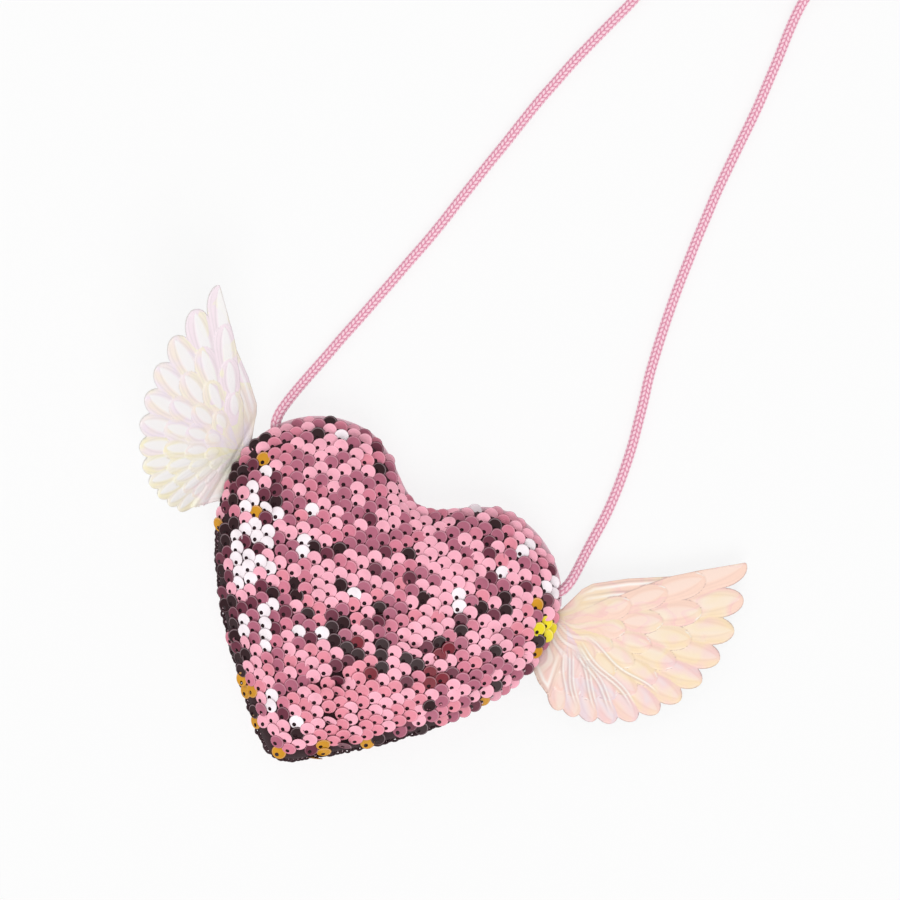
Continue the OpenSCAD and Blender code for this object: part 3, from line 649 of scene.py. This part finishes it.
# Edge of the front cloth: the dark thread that finishes its cut edge stands out as a chain of small
# loops round the point and up the left side, where the last row of sequins stops short of the seam.
loop_r, thread_r, loop_long, loop_out, loop_z = 0.62, 0.36, 1.5, 0.3, 9.05
dark_thread = cloth_material("dark_edge_thread", (56, 16, 28), (22, 5, 11), 12000.0, 0.03, 0.7, 0.03)
ring_bm = bmesh.new()
section = bmesh.ops.create_circle(ring_bm, segments=6, radius=thread_r)["verts"]
bmesh.ops.rotate(ring_bm, verts=section, matrix=Matrix.Rotation(math.pi / 2, 3, "X"))
bmesh.ops.translate(ring_bm, verts=section, vec=(loop_r, 0, 0))
bmesh.ops.spin(ring_bm, geom=ring_bm.verts[:] + ring_bm.edges[:], axis=(0, 0, 1), cent=(0, 0, 0),
               angle=2 * math.pi, steps=12, use_merge=True)
ring_mesh = as_mesh("loop_pattern", ring_bm)
loop_count = 240
loop_line = even_outline(loop_count)
loop_seed = random.Random(3)
loop_bm = bmesh.new()
for i in range(1, loop_count):
    x, y = loop_line[i]
    if not bare_side(x, y - 6):
        continue
    ahead = loop_line[i + 1] - loop_line[i - 1]
    out = Vector((-ahead[1], ahead[0], 0)).normalized() * loop_out
    spin = math.atan2(ahead[1], ahead[0]) + loop_seed.uniform(-0.5, 0.5)
    tip = loop_seed.uniform(-0.6, 0.6)
    grow = loop_seed.uniform(0.75, 1.2)
    out *= loop_seed.uniform(-0.3, 1.5)
    place = (Matrix.Translation(Vector((x, y, loop_z)) + out) @ Matrix.Rotation(spin, 4, "Z")
             @ Matrix.Rotation(tip, 4, "X") @ Matrix.Diagonal((loop_long * grow, grow, 1, 1)))
    stamp(loop_bm, ring_mesh, place)
add_piece("edge_thread_loops", loop_bm, dark_thread)

# Padding and lining behind the front: loose white fibre wadding, then a smooth pink lining cloth.
# Both are sewn into the seam with the front, and show only through the open zip.
fibre = cloth_material("white_wadding", (250, 247, 243), (222, 217, 210), 2600.0, 0.3, 0.95, 0.4)
lining_cloth = cloth_material("pink_lining", (248, 205, 218), (226, 168, 186), 14000.0, 0.02, 0.5, 0.3)
wad_bm = flat_grid(cloth_steps, 30)
lay_out(wad_bm, front_place(0.95))
wadding = add_piece("front_padding", wad_bm, fibre, ("front_wadding",), open_up=(0, 0, 1))
thicken(wadding, 2.9)
lining_bm = flat_grid(cloth_steps, 30)
lay_out(lining_bm, front_place(4.1))
front_lining = add_piece("front_inner_lining", lining_bm, lining_cloth, ("front_lining",),
                         open_up=(0, 0, 1))
thicken(front_lining, 0.35)

# Plain cloth back and its lining, each with a window for the zip. The cloth is drawn up in a groove
# across the back, which keeps the zip off the table, and rolls up to the seam with small puckers.
zip_y, groove_half, groove_slope = 17.0, 9.8, 0.85
back_rim_z, back_flat = 7.25, 0.78
pucker_h, pucker_from, crease_h = 0.22, 0.84, 0.12


def roll(share):
    """Height of the back's roll at a share of the way out, from 0 on the flat to 1 at the seam."""
    return 1 - np.sqrt(np.maximum(0, 1 - (np.clip(share - back_flat, 0, 1) / (1 - back_flat)) ** 2))


def back_rise(x, y, depth, groove_floor, half):
    """Height of one layer of the back: its roll up to the seam, its groove, puckers and creases."""
    share = np.hypot(x, y) / reach_towards(x, y) / (1 - depth / mean_r)
    rise = depth + (back_rim_z - depth) * roll(share)
    off = np.abs(y - zip_y)
    trench = groove_floor - np.maximum(0, off - half) / groove_slope
    angle = np.arctan2(y, x)
    pucker = pucker_h * np.clip((share - pucker_from) / 0.14, 0, 1) * np.clip((1.0 - share) / 0.03, 0, 1)
    waves = pucker * (np.sin(angle * 61) + 0.5 * np.sin(angle * 37 + 1)) * (share > pucker_from)
    creases = crease_h * np.clip(1 - share, 0, 0.2) * 5 * (1 + np.sin(x * 0.21 + np.sin(y * 0.17) * 2))
    return np.maximum(rise, trench) + np.abs(waves) + creases * (rise > trench)


def score(bm, axis, middle, offs):
    """Cuts new edges across a flat sheet, along lines at these distances to each side of a middle."""
    facing = [0, 0, 0]
    facing[axis] = 1
    for side in (-1, 1):
        for off in offs:
            bmesh.ops.bisect_plane(bm, geom=bm.verts[:] + bm.edges[:] + bm.faces[:], dist=1e-7,
                                   plane_co=Vector(facing) * (middle + side * off) * MM,
                                   plane_no=facing)


def cut_out(bm, inside):
    """Takes out each face whose middle, in mm, is inside."""
    taken = [face for face in bm.faces if inside(face.calc_center_median() / MM)]
    bmesh.ops.delete(bm, geom=taken, context="FACES")


def back_piece(name, depth, groove_floor, half, window, material, node, thickness):
    """One layer of the back cloth, swept out from the middle and cut along the groove and window."""
    bm = flat_grid(cloth_steps, 56)
    lay_out(bm, lambda u, v: np.column_stack([
        along_edge(u, cloth_steps) * (v * (1 - depth / mean_r))[:, None], np.zeros_like(u)]))
    weld(bm)
    foot = half + (groove_floor - depth) * groove_slope
    score(bm, 1, zip_y, (half, foot, window[1]))
    score(bm, 0, 0, (window[0],))
    cut_out(bm, lambda mid: abs(mid.x) < window[0] and abs(mid.y - zip_y) < window[1])
    flat = np.array([vert.co for vert in bm.verts]) / MM
    for vert, z in zip(bm.verts, back_rise(flat[:, 0], flat[:, 1], depth, groove_floor, half)):
        vert.co.z = z * MM
    piece = add_piece(name, bm, material, (node,), open_up=(0, 0, -1))
    thicken(piece, thickness)


plain_cloth = cloth_material("soft_pink_cloth", (250, 214, 224), (236, 184, 200), 11000.0, 0.04, 0.9, 0.4)
back_piece("back_panel", 0.0, 4.55, groove_half, (51.9, 6.35), plain_cloth,
           "back_cloth", 0.75)
back_piece("back_inner_lining", 0.95, 6.25, 10.59, (51.9, 6.75), lining_cloth,
           "back_lining", 0.35)

# Seam edge: the turned and pressed rim of the pale pink back cloth, which runs all round between the
# faces and peeps out at the cleft. It is open where a wing or an end of the cord passes.
edge_t, edge_inside, edge_show, edge_shift = 1.2, 4.0, 1.3, 0.8
seam_z = 8.0
wing_y = {1: 18.0, -1: 14.0}
rim_steps, stitch_count = 480, 88
wing_gap_x, wing_gap_half = 55, 11.2
cord_gap_half, cord_gap_reach = 1.95, 6


def rim_place(u, v):
    angle = 2 * np.pi * v
    swing = 0.5 - 0.5 * np.cos(angle)
    out = -edge_inside + (edge_inside + edge_show) * swing
    spot = along_edge(u, rim_steps) * (1 + out / mean_r)[:, None] + np.outer(swing, [0, edge_shift])
    z = seam_z + edge_t / 2 * np.sign(np.sin(angle)) * np.abs(np.sin(angle)) ** 0.35
    z += 0.12 * swing * np.sin(u * 2 * np.pi * stitch_count)
    return np.column_stack([spot, z])


def in_gap(mid):
    """Whether a place on the rim is where a wing or an end of the cord passes through it."""
    in_wing = (abs(mid.x) > wing_gap_x
               and abs(mid.y - wing_y[1 if mid.x > 0 else -1]) < wing_gap_half)
    off_x = abs(mid.x) - exit_x
    off_y = mid.y - exit_y
    across = abs(off_x * math.sin(exit_angle) - off_y * math.cos(exit_angle))
    return in_wing or (across < cord_gap_half and math.hypot(off_x, off_y) < cord_gap_reach)


rim_bm = flat_grid(rim_steps, 16)
lay_out(rim_bm, rim_place)
weld(rim_bm)
cut_out(rim_bm, in_gap)
bmesh.ops.holes_fill(rim_bm, edges=[e for e in rim_bm.edges if e.is_boundary], sides=0)
add_piece("seam_rim", rim_bm, plain_cloth, ("seam_edge",))

# Zip: a woven tape with two free edges that carry the moulded teeth, metal stops, slider and pull.
# Each edge is made in two halves that run from the middle to the mouth's ends.
tape_z, tape_t, mouth_half, hinge_y = 5.8, 0.6, 40.0, 5.6
tape_half_len, tape_half_w, root_y, stop_x = 53.9, 9.8, 2.3, 49.6
mouth_slit_x, mouth_slit_y, teeth_slit_x = mouth_half + 0.3, hinge_y + 0.45, stop_x + 2
end_gap = 0.3
tape_weave = cloth_material("zip_tape_weave", (246, 178, 197), (214, 134, 156), 7000.0, 0.08, 0.8, 0.2)


def tape_sheet(x_low, x_high, y_low, y_high):
    bm = flat_grid(max(2, int((x_high - x_low) / 1.2)), max(2, int((y_high - y_low) / 0.6)))
    lay_out(bm, lambda u, v: np.column_stack([
        x_low + (x_high - x_low) * u, zip_y + y_low + (y_high - y_low) * v,
        np.full_like(u, tape_z + tape_t / 2)]))
    return bm


def in_slit(mid):
    """Whether a place on the tape is in the mouth between its free edges, or between the teeth."""
    off = abs(mid.y - zip_y)
    in_mouth = abs(mid.x) < mouth_slit_x and off < mouth_slit_y
    return in_mouth or (abs(mid.x) < teeth_slit_x and off < root_y)


tape_bm = tape_sheet(-tape_half_len, tape_half_len, -tape_half_w, tape_half_w)
score(tape_bm, 0, 0, (mouth_slit_x, teeth_slit_x))
score(tape_bm, 1, zip_y, (mouth_slit_y, root_y))
cut_out(tape_bm, in_slit)
tape = add_piece("zip_tape_cloth", tape_bm, tape_weave, ("zip_tape",), open_up=(0, 0, 1))
thicken(tape, tape_t)

tooth_plastic, tree, skin = start_material("tooth_plastic", 0.35)
tooth_tone = shades(tree, noise(tree, 700.0, 3.0), ((240, 176, 195), (250, 198, 212)), 0.3, 0.7)
tree.links.new(tooth_tone, skin.inputs["Base Color"])

plated, tree, skin = start_material("plated_metal", 0.3)
skin.inputs["Metallic"].default_value = 1.0
scuff = noise(tree, 900.0, 5.0)
metal_tone = shades(tree, scuff, ((186, 186, 192), (222, 222, 226)), 0.3, 0.7)
tree.links.new(metal_tone, skin.inputs["Base Color"])
dull = add_node(tree, "MapRange", {"Value": scuff, "To Min": 0.18, "To Max": 0.42})
tree.links.new(dull.outputs[0], skin.inputs["Roughness"])

tooth_w, tooth_reach, tooth_h, tooth_pitch, tooth_gap_half = 1.1, 1.6, 2.2, 2.0, 0.7
stop_h = 2.8


def block(bm, x, y, size, bevel):
    """A rounded block with its middle on the tape's line at x, y."""
    made = bmesh.ops.create_cube(bm, size=1)["verts"]
    bmesh.ops.scale(bm, vec=Vector(size) * MM, verts=made)
    bmesh.ops.translate(bm, vec=Vector((x, zip_y + y, tape_z)) * MM, verts=made)
    edges = list({edge for vert in made for edge in vert.link_edges})
    bmesh.ops.bevel(bm, geom=edges, offset=bevel * MM, offset_type="OFFSET", segments=2, profile=0.5,
                    affect="EDGES", material=-1)


def tooth_line(bm, x_low, x_high, side):
    """The teeth between two places on one edge. Those of the lower edge stand half a pitch along."""
    stagger = 0 if side > 0 else tooth_pitch / 2
    first = math.ceil((x_low + tooth_w / 2 - stagger) / tooth_pitch)
    last = math.floor((x_high - tooth_w / 2 - stagger) / tooth_pitch)
    for i in range(first, last + 1):
        block(bm, i * tooth_pitch + stagger, side * (tooth_gap_half + tooth_reach / 2),
              (tooth_w, tooth_reach, tooth_h), 0.24)


for side, word, axis_y in ((1, "upper", 0.0226), (-1, "lower", 0.0114)):
    for end, hand in ((-1, "left"), (1, "right")):
        low, high = sorted((0.0, end * mouth_half))
        lip_bm = tape_sheet(low, high, *sorted((side * root_y, side * (hinge_y + 0.3))))
        lip = add_piece("zip_edge_%s_%s" % (word, hand), lip_bm, tape_weave,
                        ("zip_lip_" + word,), body=None, open_up=(0, 0, 1))
        thicken(lip, tape_t)
        row_bm = bmesh.new()
        tooth_line(row_bm, low, high, side)
        row = add_piece("zip_tooth_row_%s_%s" % (word, hand), row_bm, tooth_plastic,
                        ("zip_teeth_" + word,), body=None, smooth=False)
        for piece in (lip, row):
            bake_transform(piece)

end_bm = bmesh.new()
for side in (-1, 1):
    tooth_line(end_bm, mouth_half + end_gap, stop_x - end_gap, side)
    tooth_line(end_bm, -stop_x + end_gap, -mouth_half - end_gap, side)
add_piece("zip_tooth_ends", end_bm, tooth_plastic, ("zip_end_teeth",), smooth=False)
stop_bm = bmesh.new()
for side in (-1, 1):
    block(stop_bm, stop_x + 1, side * (tooth_gap_half + tooth_reach / 2), (2, tooth_reach, stop_h), 0.35)
add_piece("zip_stops_top", stop_bm, plated, ("zip_top_stops",), smooth=False)
base_bm = bmesh.new()
block(base_bm, -stop_x - 1, 0, (2, 2 * root_y, stop_h), 0.4)
add_piece("zip_stop_bottom", base_bm, plated, ("zip_bottom_stop",), smooth=False)
for node_name in ("zip_slider", "zip_pull"):
    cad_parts[node_name].material_slots[0].material = plated

# Wings: pearly plastic film, hot embossed with rows of feathers, on a backing of short white felt.
# Each is cut from one sheet whose inner edge is sewn into the side seam, so it bends at the crease.
wing_len, short_len, feather_w, feather_low_w = 63.0, 28.5, 10.0, 8.0
root_len, tuck, felt_t, film_t, tier_t = 22.0, 6.4, 0.55, 0.2, 0.3
wing_x = 61.4
shoulder_y = 0.32 * root_len
first_angle, fan_angle = 43, 113
sheet_long, sheet_high, sheet_low = 76, 92, -34
tier_counts = (12, 10, 8, 6)
tier_reach = (1, 0.77, 0.56, 0.36)
tier_width = (1, 0.92, 0.84, 0.8)
arm_shares = ((0, 0.2), (0.041, 0.253), (0.195, 0.353), (0.39, 0.456), (0.51, 0.545), (0.66, 0.645),
              (0.6, 0.5), (0.36, 0.15), (0.14, -0.15))
wing_room_shares = ((-0.1, 0.1), (0.041, 0.253), (0.195, 0.353), (0.39, 0.456), (0.51, 0.545),
                    (1.2, 1.02), (1.2, -1.2), (-0.1, -1.2))
film_reach = 3.2


def feather_way(down):
    """Direction and length of the outer feather at a share of the way down the fan."""
    reach = short_len + (wing_len - short_len) * (1 - down) ** 1.15
    return math.radians(first_angle - fan_angle * down), reach


def feather_list(tier):
    """Direction, length and width of each feather in a tier, from the top one down."""
    for i in range(tier_counts[tier]):
        down = i / (tier_counts[tier] - 1)
        angle, reach = feather_way(down)
        width = feather_w + (feather_low_w - feather_w) * down
        yield angle, tier_reach[tier] * reach, tier_width[tier] * width


def along_and_across(x, y, angle):
    """Runs from the shoulder in a direction and square to it."""
    along = x * math.cos(angle) + (y - shoulder_y) * math.sin(angle)
    return along, (y - shoulder_y) * math.cos(angle) - x * math.sin(angle)


def feather_frame(x, y, angle, reach, width):
    """Run along a feather, run across it and its half width there; negative where it ends."""
    a, b = along_and_across(x, y, angle)
    tip = 0.8 * width
    base = 0.25 * width
    straight = base + (width / 2 - base) * np.clip(a / (reach - tip), 0, 1)
    round_off = np.sqrt(np.clip(1 - (np.maximum(0, a - reach + tip) / tip) ** 2, 0, 1))
    half = straight * round_off
    return a, b, np.where((a > 0) & (a < reach), half, -1)


def polygon_distance(x, y, corners):
    """Distance outside a shape with straight sides, negative inside it."""
    best = np.full(x.shape, 1e9)
    inside = np.zeros(x.shape, bool)
    for (ax, ay), (bx, by) in zip(corners, corners[1:] + corners[:1]):
        ex, ey = bx - ax, by - ay
        t = np.clip(((x - ax) * ex + (y - ay) * ey) / (ex * ex + ey * ey), 0, 1)
        best = np.minimum(best, np.hypot(x - ax - ex * t, y - ay - ey * t))
        crosses = ((ay > y) != (by > y)) & (x < (bx - ax) * (y - ay) / (by - ay + 1e-12) + ax)
        inside ^= crosses
    return np.where(inside, -best, best)


def arm_outline(reach_share):
    """The wing's plain part between its root and its feathers, out to a share of its reach."""
    corners = [(-tuck, -root_len / 2), (-tuck, root_len / 2), (-film_reach, root_len / 2)]
    corners += [(px * wing_len * reach_share, shoulder_y + py * wing_len * reach_share)
                for px, py in arm_shares]
    return corners + [(5.5, -17), (0, -14), (-film_reach, -root_len / 2)]


def wing_distance(x, y):
    """Distance outside the edge of the whole wing sheet, negative on it."""
    best = polygon_distance(x, y, arm_outline(1))
    for angle, reach, width in feather_list(0):
        tip, base = 0.8 * width, 0.25 * width
        corners = [(0, -base)]
        for k in range(13):
            bend = math.radians(-90 + 15 * k)
            corners.append((reach - tip + tip * math.cos(bend), width / 2 * math.sin(bend)))
        corners.append((0, base))
        c, s = math.cos(angle), math.sin(angle)
        feather = [(px * c - py * s, shoulder_y + px * s + py * c) for px, py in corners]
        best = np.minimum(best, polygon_distance(x, y, feather))
    room = [(px * wing_len, shoulder_y + py * wing_len) for px, py in wing_room_shares]
    best = np.where(x > 0, np.maximum(best, polygon_distance(x, y, room)), best)
    beside = np.maximum(y - root_len / 2 - 2.6 * np.clip(x + film_reach, 0, film_reach),
                        -y - root_len / 2 - np.clip(x + film_reach, 0, film_reach))
    return np.where(x < 0, np.maximum(best, beside / 2), best)


# Each fold's place: the number of the outer feather above it, and how far it is shifted sideways
fold_places = (
    (5, -0.8), (6, 0), (6, 1.3), (7, 0), (7, 1.4), (8, 0), (8, -1.3), (9, 0), (9, 1.2), (10, 0),
)


def long_folds(x, y):
    """Sharp folds that run down from the root between the lower feathers, and painted shadows beside
    them.
    """
    fold, fold_shadow = np.zeros(x.shape), np.zeros(x.shape)
    for k, aside in fold_places:
        way, reach = feather_way((k + 0.5) / (tier_counts[0] - 1))
        a, b = along_and_across(x, y, way)
        b = b + 0.8 * np.sin(a * 0.25 + k * 1.7) + aside
        span = np.clip((a - 7) / 5, 0, 1) * np.clip((0.88 * reach - a) / 5, 0, 1)
        fold = np.maximum(fold, span * np.exp(-(b / 0.3) ** 2))
        fold_shadow = np.maximum(fold_shadow, span * np.exp(-((b + 0.62) / 0.24) ** 2))
    return fold, fold_shadow


def wing_relief(x, y, lens_share, fold_share):
    """Height of the embossed film, its painted shade lines, its painted highlights and each feather's
    tint.
    """
    height, line, crest = np.full(x.shape, 0.1), np.zeros(x.shape), np.zeros(x.shape)
    tint = np.clip(0.45 - np.arctan2(y - shoulder_y, x + 8) / 2.1, 0, 1)
    for tier in range(4):
        off = polygon_distance(x, y, arm_outline(tier_reach[tier]))
        height = np.where(off < 0, tier * tier_t + 0.25 * np.clip(-off / 1.5, 0, 1), height)
        # Each tier's edge gets a painted shadow line just inside it and a painted highlight further in.
        line = np.where(off < 0.3, 0.7 * np.exp(-((off + 0.9) / 0.3) ** 2), line)
        crest = np.where(off < 0, np.exp(-((off + 1.9) / 0.5) ** 2), crest)
        nearest = np.full(x.shape, 9.0)
        for i, (angle, reach, width) in enumerate(feather_list(tier)):
            a, b, half = feather_frame(x, y, angle, reach, width)
            across = np.where(half > 0.02, np.abs(b) / np.maximum(half, 0.02), 9)
            win = across < np.minimum(nearest, 1)
            nearest = np.where(win, across, nearest)
            low = i / (tier_counts[tier] - 1)
            part = np.clip((a - 0.6 * reach) / (0.4 * reach - 0.12 * width), 0, 1)
            leaf = (4 * part * (1 - part)) ** 0.7
            # Each feather's lens is raised a little and painted white as a highlight, with painted shade
            # on the ribs round it and along the feather's edge.
            lens_edge = np.abs(b - 0.04 * width) / (0.25 * width * np.maximum(leaf, 0.05))
            lens = np.clip(2.5 * (1 - lens_edge), 0, 1) * (leaf > 0.05)
            rib = np.exp(-((lens_edge - 1.12) / 0.14) ** 2) * (leaf > 0.05)
            rib = np.maximum(rib, 0.8 * np.exp(-((across - 0.74) / 0.045) ** 2))
            dome = 0.3 * np.sqrt(np.clip(1 - across ** 2, 0, 1))
            height = np.where(win, tier * tier_t + dome + 0.12 * lens_share * lens, height)
            edge = np.clip((across - 0.93) / 0.05, 0, 1)
            line = np.where(win, np.maximum(edge, 0.65 * lens_share * rib), line)
            # White hooks near the tips of the inner tiers' feathers are painted highlights.
            hook = np.exp(-((across - 0.8) / 0.07) ** 2) * np.clip((a - reach + 0.3 * width) / 0.8, 0, 1)
            hook *= fold_share * (tier > 0) * ((b > 0) == (i % 2 == 0))
            crest = np.where(win, np.maximum(lens_share * lens, hook), crest)
            tint = np.where(win, np.clip(low + 0.09 * np.sin(b * 0.8 + tier * 2), 0, 1), tint)
    # Curls round the root stand up a little, with painted highlights on them and painted shade on their
    # sides.
    away = np.hypot(x + 2, y - shoulder_y)
    turn = np.arctan2(y - shoulder_y, x + 6)
    root = np.clip(1.5 - away / 14, 0, 1)
    curls = root * np.clip(0.45 - turn, 0.12, 1) * (0.4 + 0.6 * fold_share)
    curl = np.abs(np.sin(turn * 9 + 1.1 * np.sin(away * 0.4)))
    height += 0.2 * curls * curl ** 0.7
    crest = np.maximum(crest * (1 - root), 0.8 * curls * np.exp(-((curl - 0.95) / 0.09) ** 2))
    line = np.maximum(line * (1 - root), 0.7 * curls * np.exp(-((curl - 0.7) / 0.12) ** 2))
    # The folds stand up, with painted highlights along them and painted shadows beside them.
    fold, fold_shadow = long_folds(x, y)
    height += 0.32 * fold_share * fold
    crest = np.maximum(crest, fold_share * fold)
    line = np.maximum(line * (1 - fold), 0.9 * fold_share * fold_shadow)
    return height * np.clip((x + 4) / 6, 0.05, 1), line, crest, tint


def wing_sheet(step, inset):
    """A flat sheet cut to the wing's outline less an inset, with its rim moved onto that line."""
    bm = flat_grid(int(sheet_long / step), int(sheet_high / step))
    lay_out(bm, lambda u, v: np.column_stack([
        -tuck + sheet_long * u, sheet_low + sheet_high * v, np.zeros_like(u)]))
    flat = np.array([vert.co for vert in bm.verts]) / MM
    gap = wing_distance(flat[:, 0], flat[:, 1]) + inset
    bmesh.ops.delete(bm, geom=[v for v, g in zip(bm.verts, gap) if g > step * 0.25], context="VERTS")
    loose = [v for v in bm.verts if not v.link_faces]
    bmesh.ops.delete(bm, geom=loose, context="VERTS")
    rim = [v for v in bm.verts if any(e.is_boundary for e in v.link_edges)]
    for _ in range(4):
        px = np.array([v.co.x for v in rim]) / MM
        py = np.array([v.co.y for v in rim]) / MM
        d = wing_distance(px, py) + inset
        gx = (wing_distance(px + 0.05, py) + inset - d) / 0.05
        gy = (wing_distance(px, py + 0.05) + inset - d) / 0.05
        size = np.maximum(gx * gx + gy * gy, 0.3)
        move_x = np.clip(d * gx / size, -step / 2, step / 2)
        move_y = np.clip(d * gy / size, -step / 2, step / 2)
        for v, mx, my in zip(rim, move_x, move_y):
            v.co.x -= mx * MM
            v.co.y -= my * MM
    return bm


def bend_wing(bm, side, sweep, lift, tops):
    """Takes a flat wing sheet to its seam, bent up at the crease by the lift."""
    fine = np.linspace(-8, 72, 1601)
    soft = np.clip((fine + 1.0) / 2.0, 0, 1)
    angle = math.radians(lift) * soft * soft * (3 - 2 * soft)
    step = fine[1] - fine[0]
    run_x = np.cumsum(np.cos(angle)) * step
    run_z = np.cumsum(np.sin(angle)) * step
    run_x -= np.interp(-2, fine, run_x) + 2
    run_z -= np.interp(-2, fine, run_z)
    c, s = math.cos(math.radians(sweep)), math.sin(math.radians(sweep))
    for vert, top in zip(bm.verts, tops):
        x, y = vert.co.x / MM, vert.co.y / MM
        tilt = float(np.interp(x, fine, angle))
        bx = float(np.interp(x, fine, run_x)) - top * math.sin(tilt)
        bz = float(np.interp(x, fine, run_z)) + top * math.cos(tilt)
        across, along = bx * c - y * s, bx * s + y * c
        vert.co = Vector((side * (wing_x + across), wing_y[side] + along, seam_z + bz)) * MM


def film_material(name, tints, groove_shade_colour, groove_shade_share, highlight_colour, highlight_share):
    """Pearly film in drifting tints, with painted shade on its outlines and painted highlights on its
    crests.
    """
    material, tree, skin = start_material(name, 0.4)
    skin.inputs["Coat Weight"].default_value = 0.25
    skin.inputs["Coat Roughness"].default_value = 0.25
    tint = add_node(tree, "Attribute", attribute_name="tint")
    drift = sums(tree, "MULTIPLY_ADD", noise(tree, 60.0, 2.0, 0.6), 0.9, -0.45)
    pearl = shades(tree, sums(tree, "MULTIPLY_ADD", tint.outputs["Fac"], 0.8, drift), tints, -0.1, 1.0)
    mid = add_node(tree, "Attribute", attribute_name="crest")
    lit = mix_colours(tree, sums(tree, "MULTIPLY", mid.outputs["Fac"], highlight_share), pearl, dye(*highlight_colour))
    line = add_node(tree, "Attribute", attribute_name="line")
    edge = mix_colours(tree, sums(tree, "MULTIPLY", line.outputs["Fac"], groove_shade_share), lit,
                       dye(*groove_shade_colour))
    tree.links.new(edge, skin.inputs["Base Color"])
    bump = add_node(tree, "Bump", {"Height": noise(tree, 380.0, 3.0, 0.8), "Distance": 0.0003,
                                   "Strength": 0.3})
    tree.links.new(bump.outputs[0], skin.inputs["Normal"])
    return material


warm_film = film_material(
    "warm_pearl_film",
    ((252, 216, 198), (250, 206, 198), (250, 226, 200), (250, 224, 186), (250, 216, 198), (248, 208, 204),
     (238, 216, 222), (250, 210, 198), (248, 220, 202), (246, 204, 206), (240, 210, 216)),
    (176, 148, 146), 0.6, (255, 253, 248), 0.9)
white_film = film_material(
    "white_pearl_film",
    ((254, 239, 246), (255, 249, 226), (255, 242, 232), (252, 240, 249), (255, 245, 240), (255, 248, 212),
     (255, 251, 232), (255, 246, 234), (255, 240, 241), (255, 249, 240)),
    (206, 202, 202), 0.45, (255, 255, 254), 0.9)
felt = cloth_material("white_felt", (250, 246, 241), (232, 226, 219), 5200.0, 0.12, 0.95, 0.35)

for side, hand, sweep, lift, film_skin, lens_share, fold_share in (
    (1, "right", 5, -3, warm_film, 0.25, 1.0), (-1, "left", 0, 50, white_film, 1.0, 0.3),
):
    film_bm = wing_sheet(0.32, 0.0)
    flat = np.array([vert.co for vert in film_bm.verts]) / MM
    height, line, crest, tint = wing_relief(flat[:, 0], flat[:, 1], lens_share, fold_share)
    for word, values in (("line", line), ("crest", crest), ("tint", tint)):
        mark = film_bm.verts.layers.float.new(word)
        for vert, value in zip(film_bm.verts, values):
            vert[mark] = value
    bend_wing(film_bm, side, sweep, lift, 0.2 + height)
    film = add_piece("wing_%s_pearl_film" % hand, film_bm, film_skin,
                     ("wing_%s_film" % hand,), body=None, open_up=(0, 0, 1))
    thicken(film, film_t)
    felt_bm = wing_sheet(0.8, 0.25)
    bend_wing(felt_bm, side, sweep, lift, [0.1] * len(felt_bm.verts))
    backing = add_piece("wing_%s_felt_backing" % hand, felt_bm, felt,
                        ("wing_%s_felt" % hand, "wing_%s_root" % hand), body=None, open_up=(0, 0, 1))
    thicken(backing, felt_t)
    for piece in (film, backing):
        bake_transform(piece)
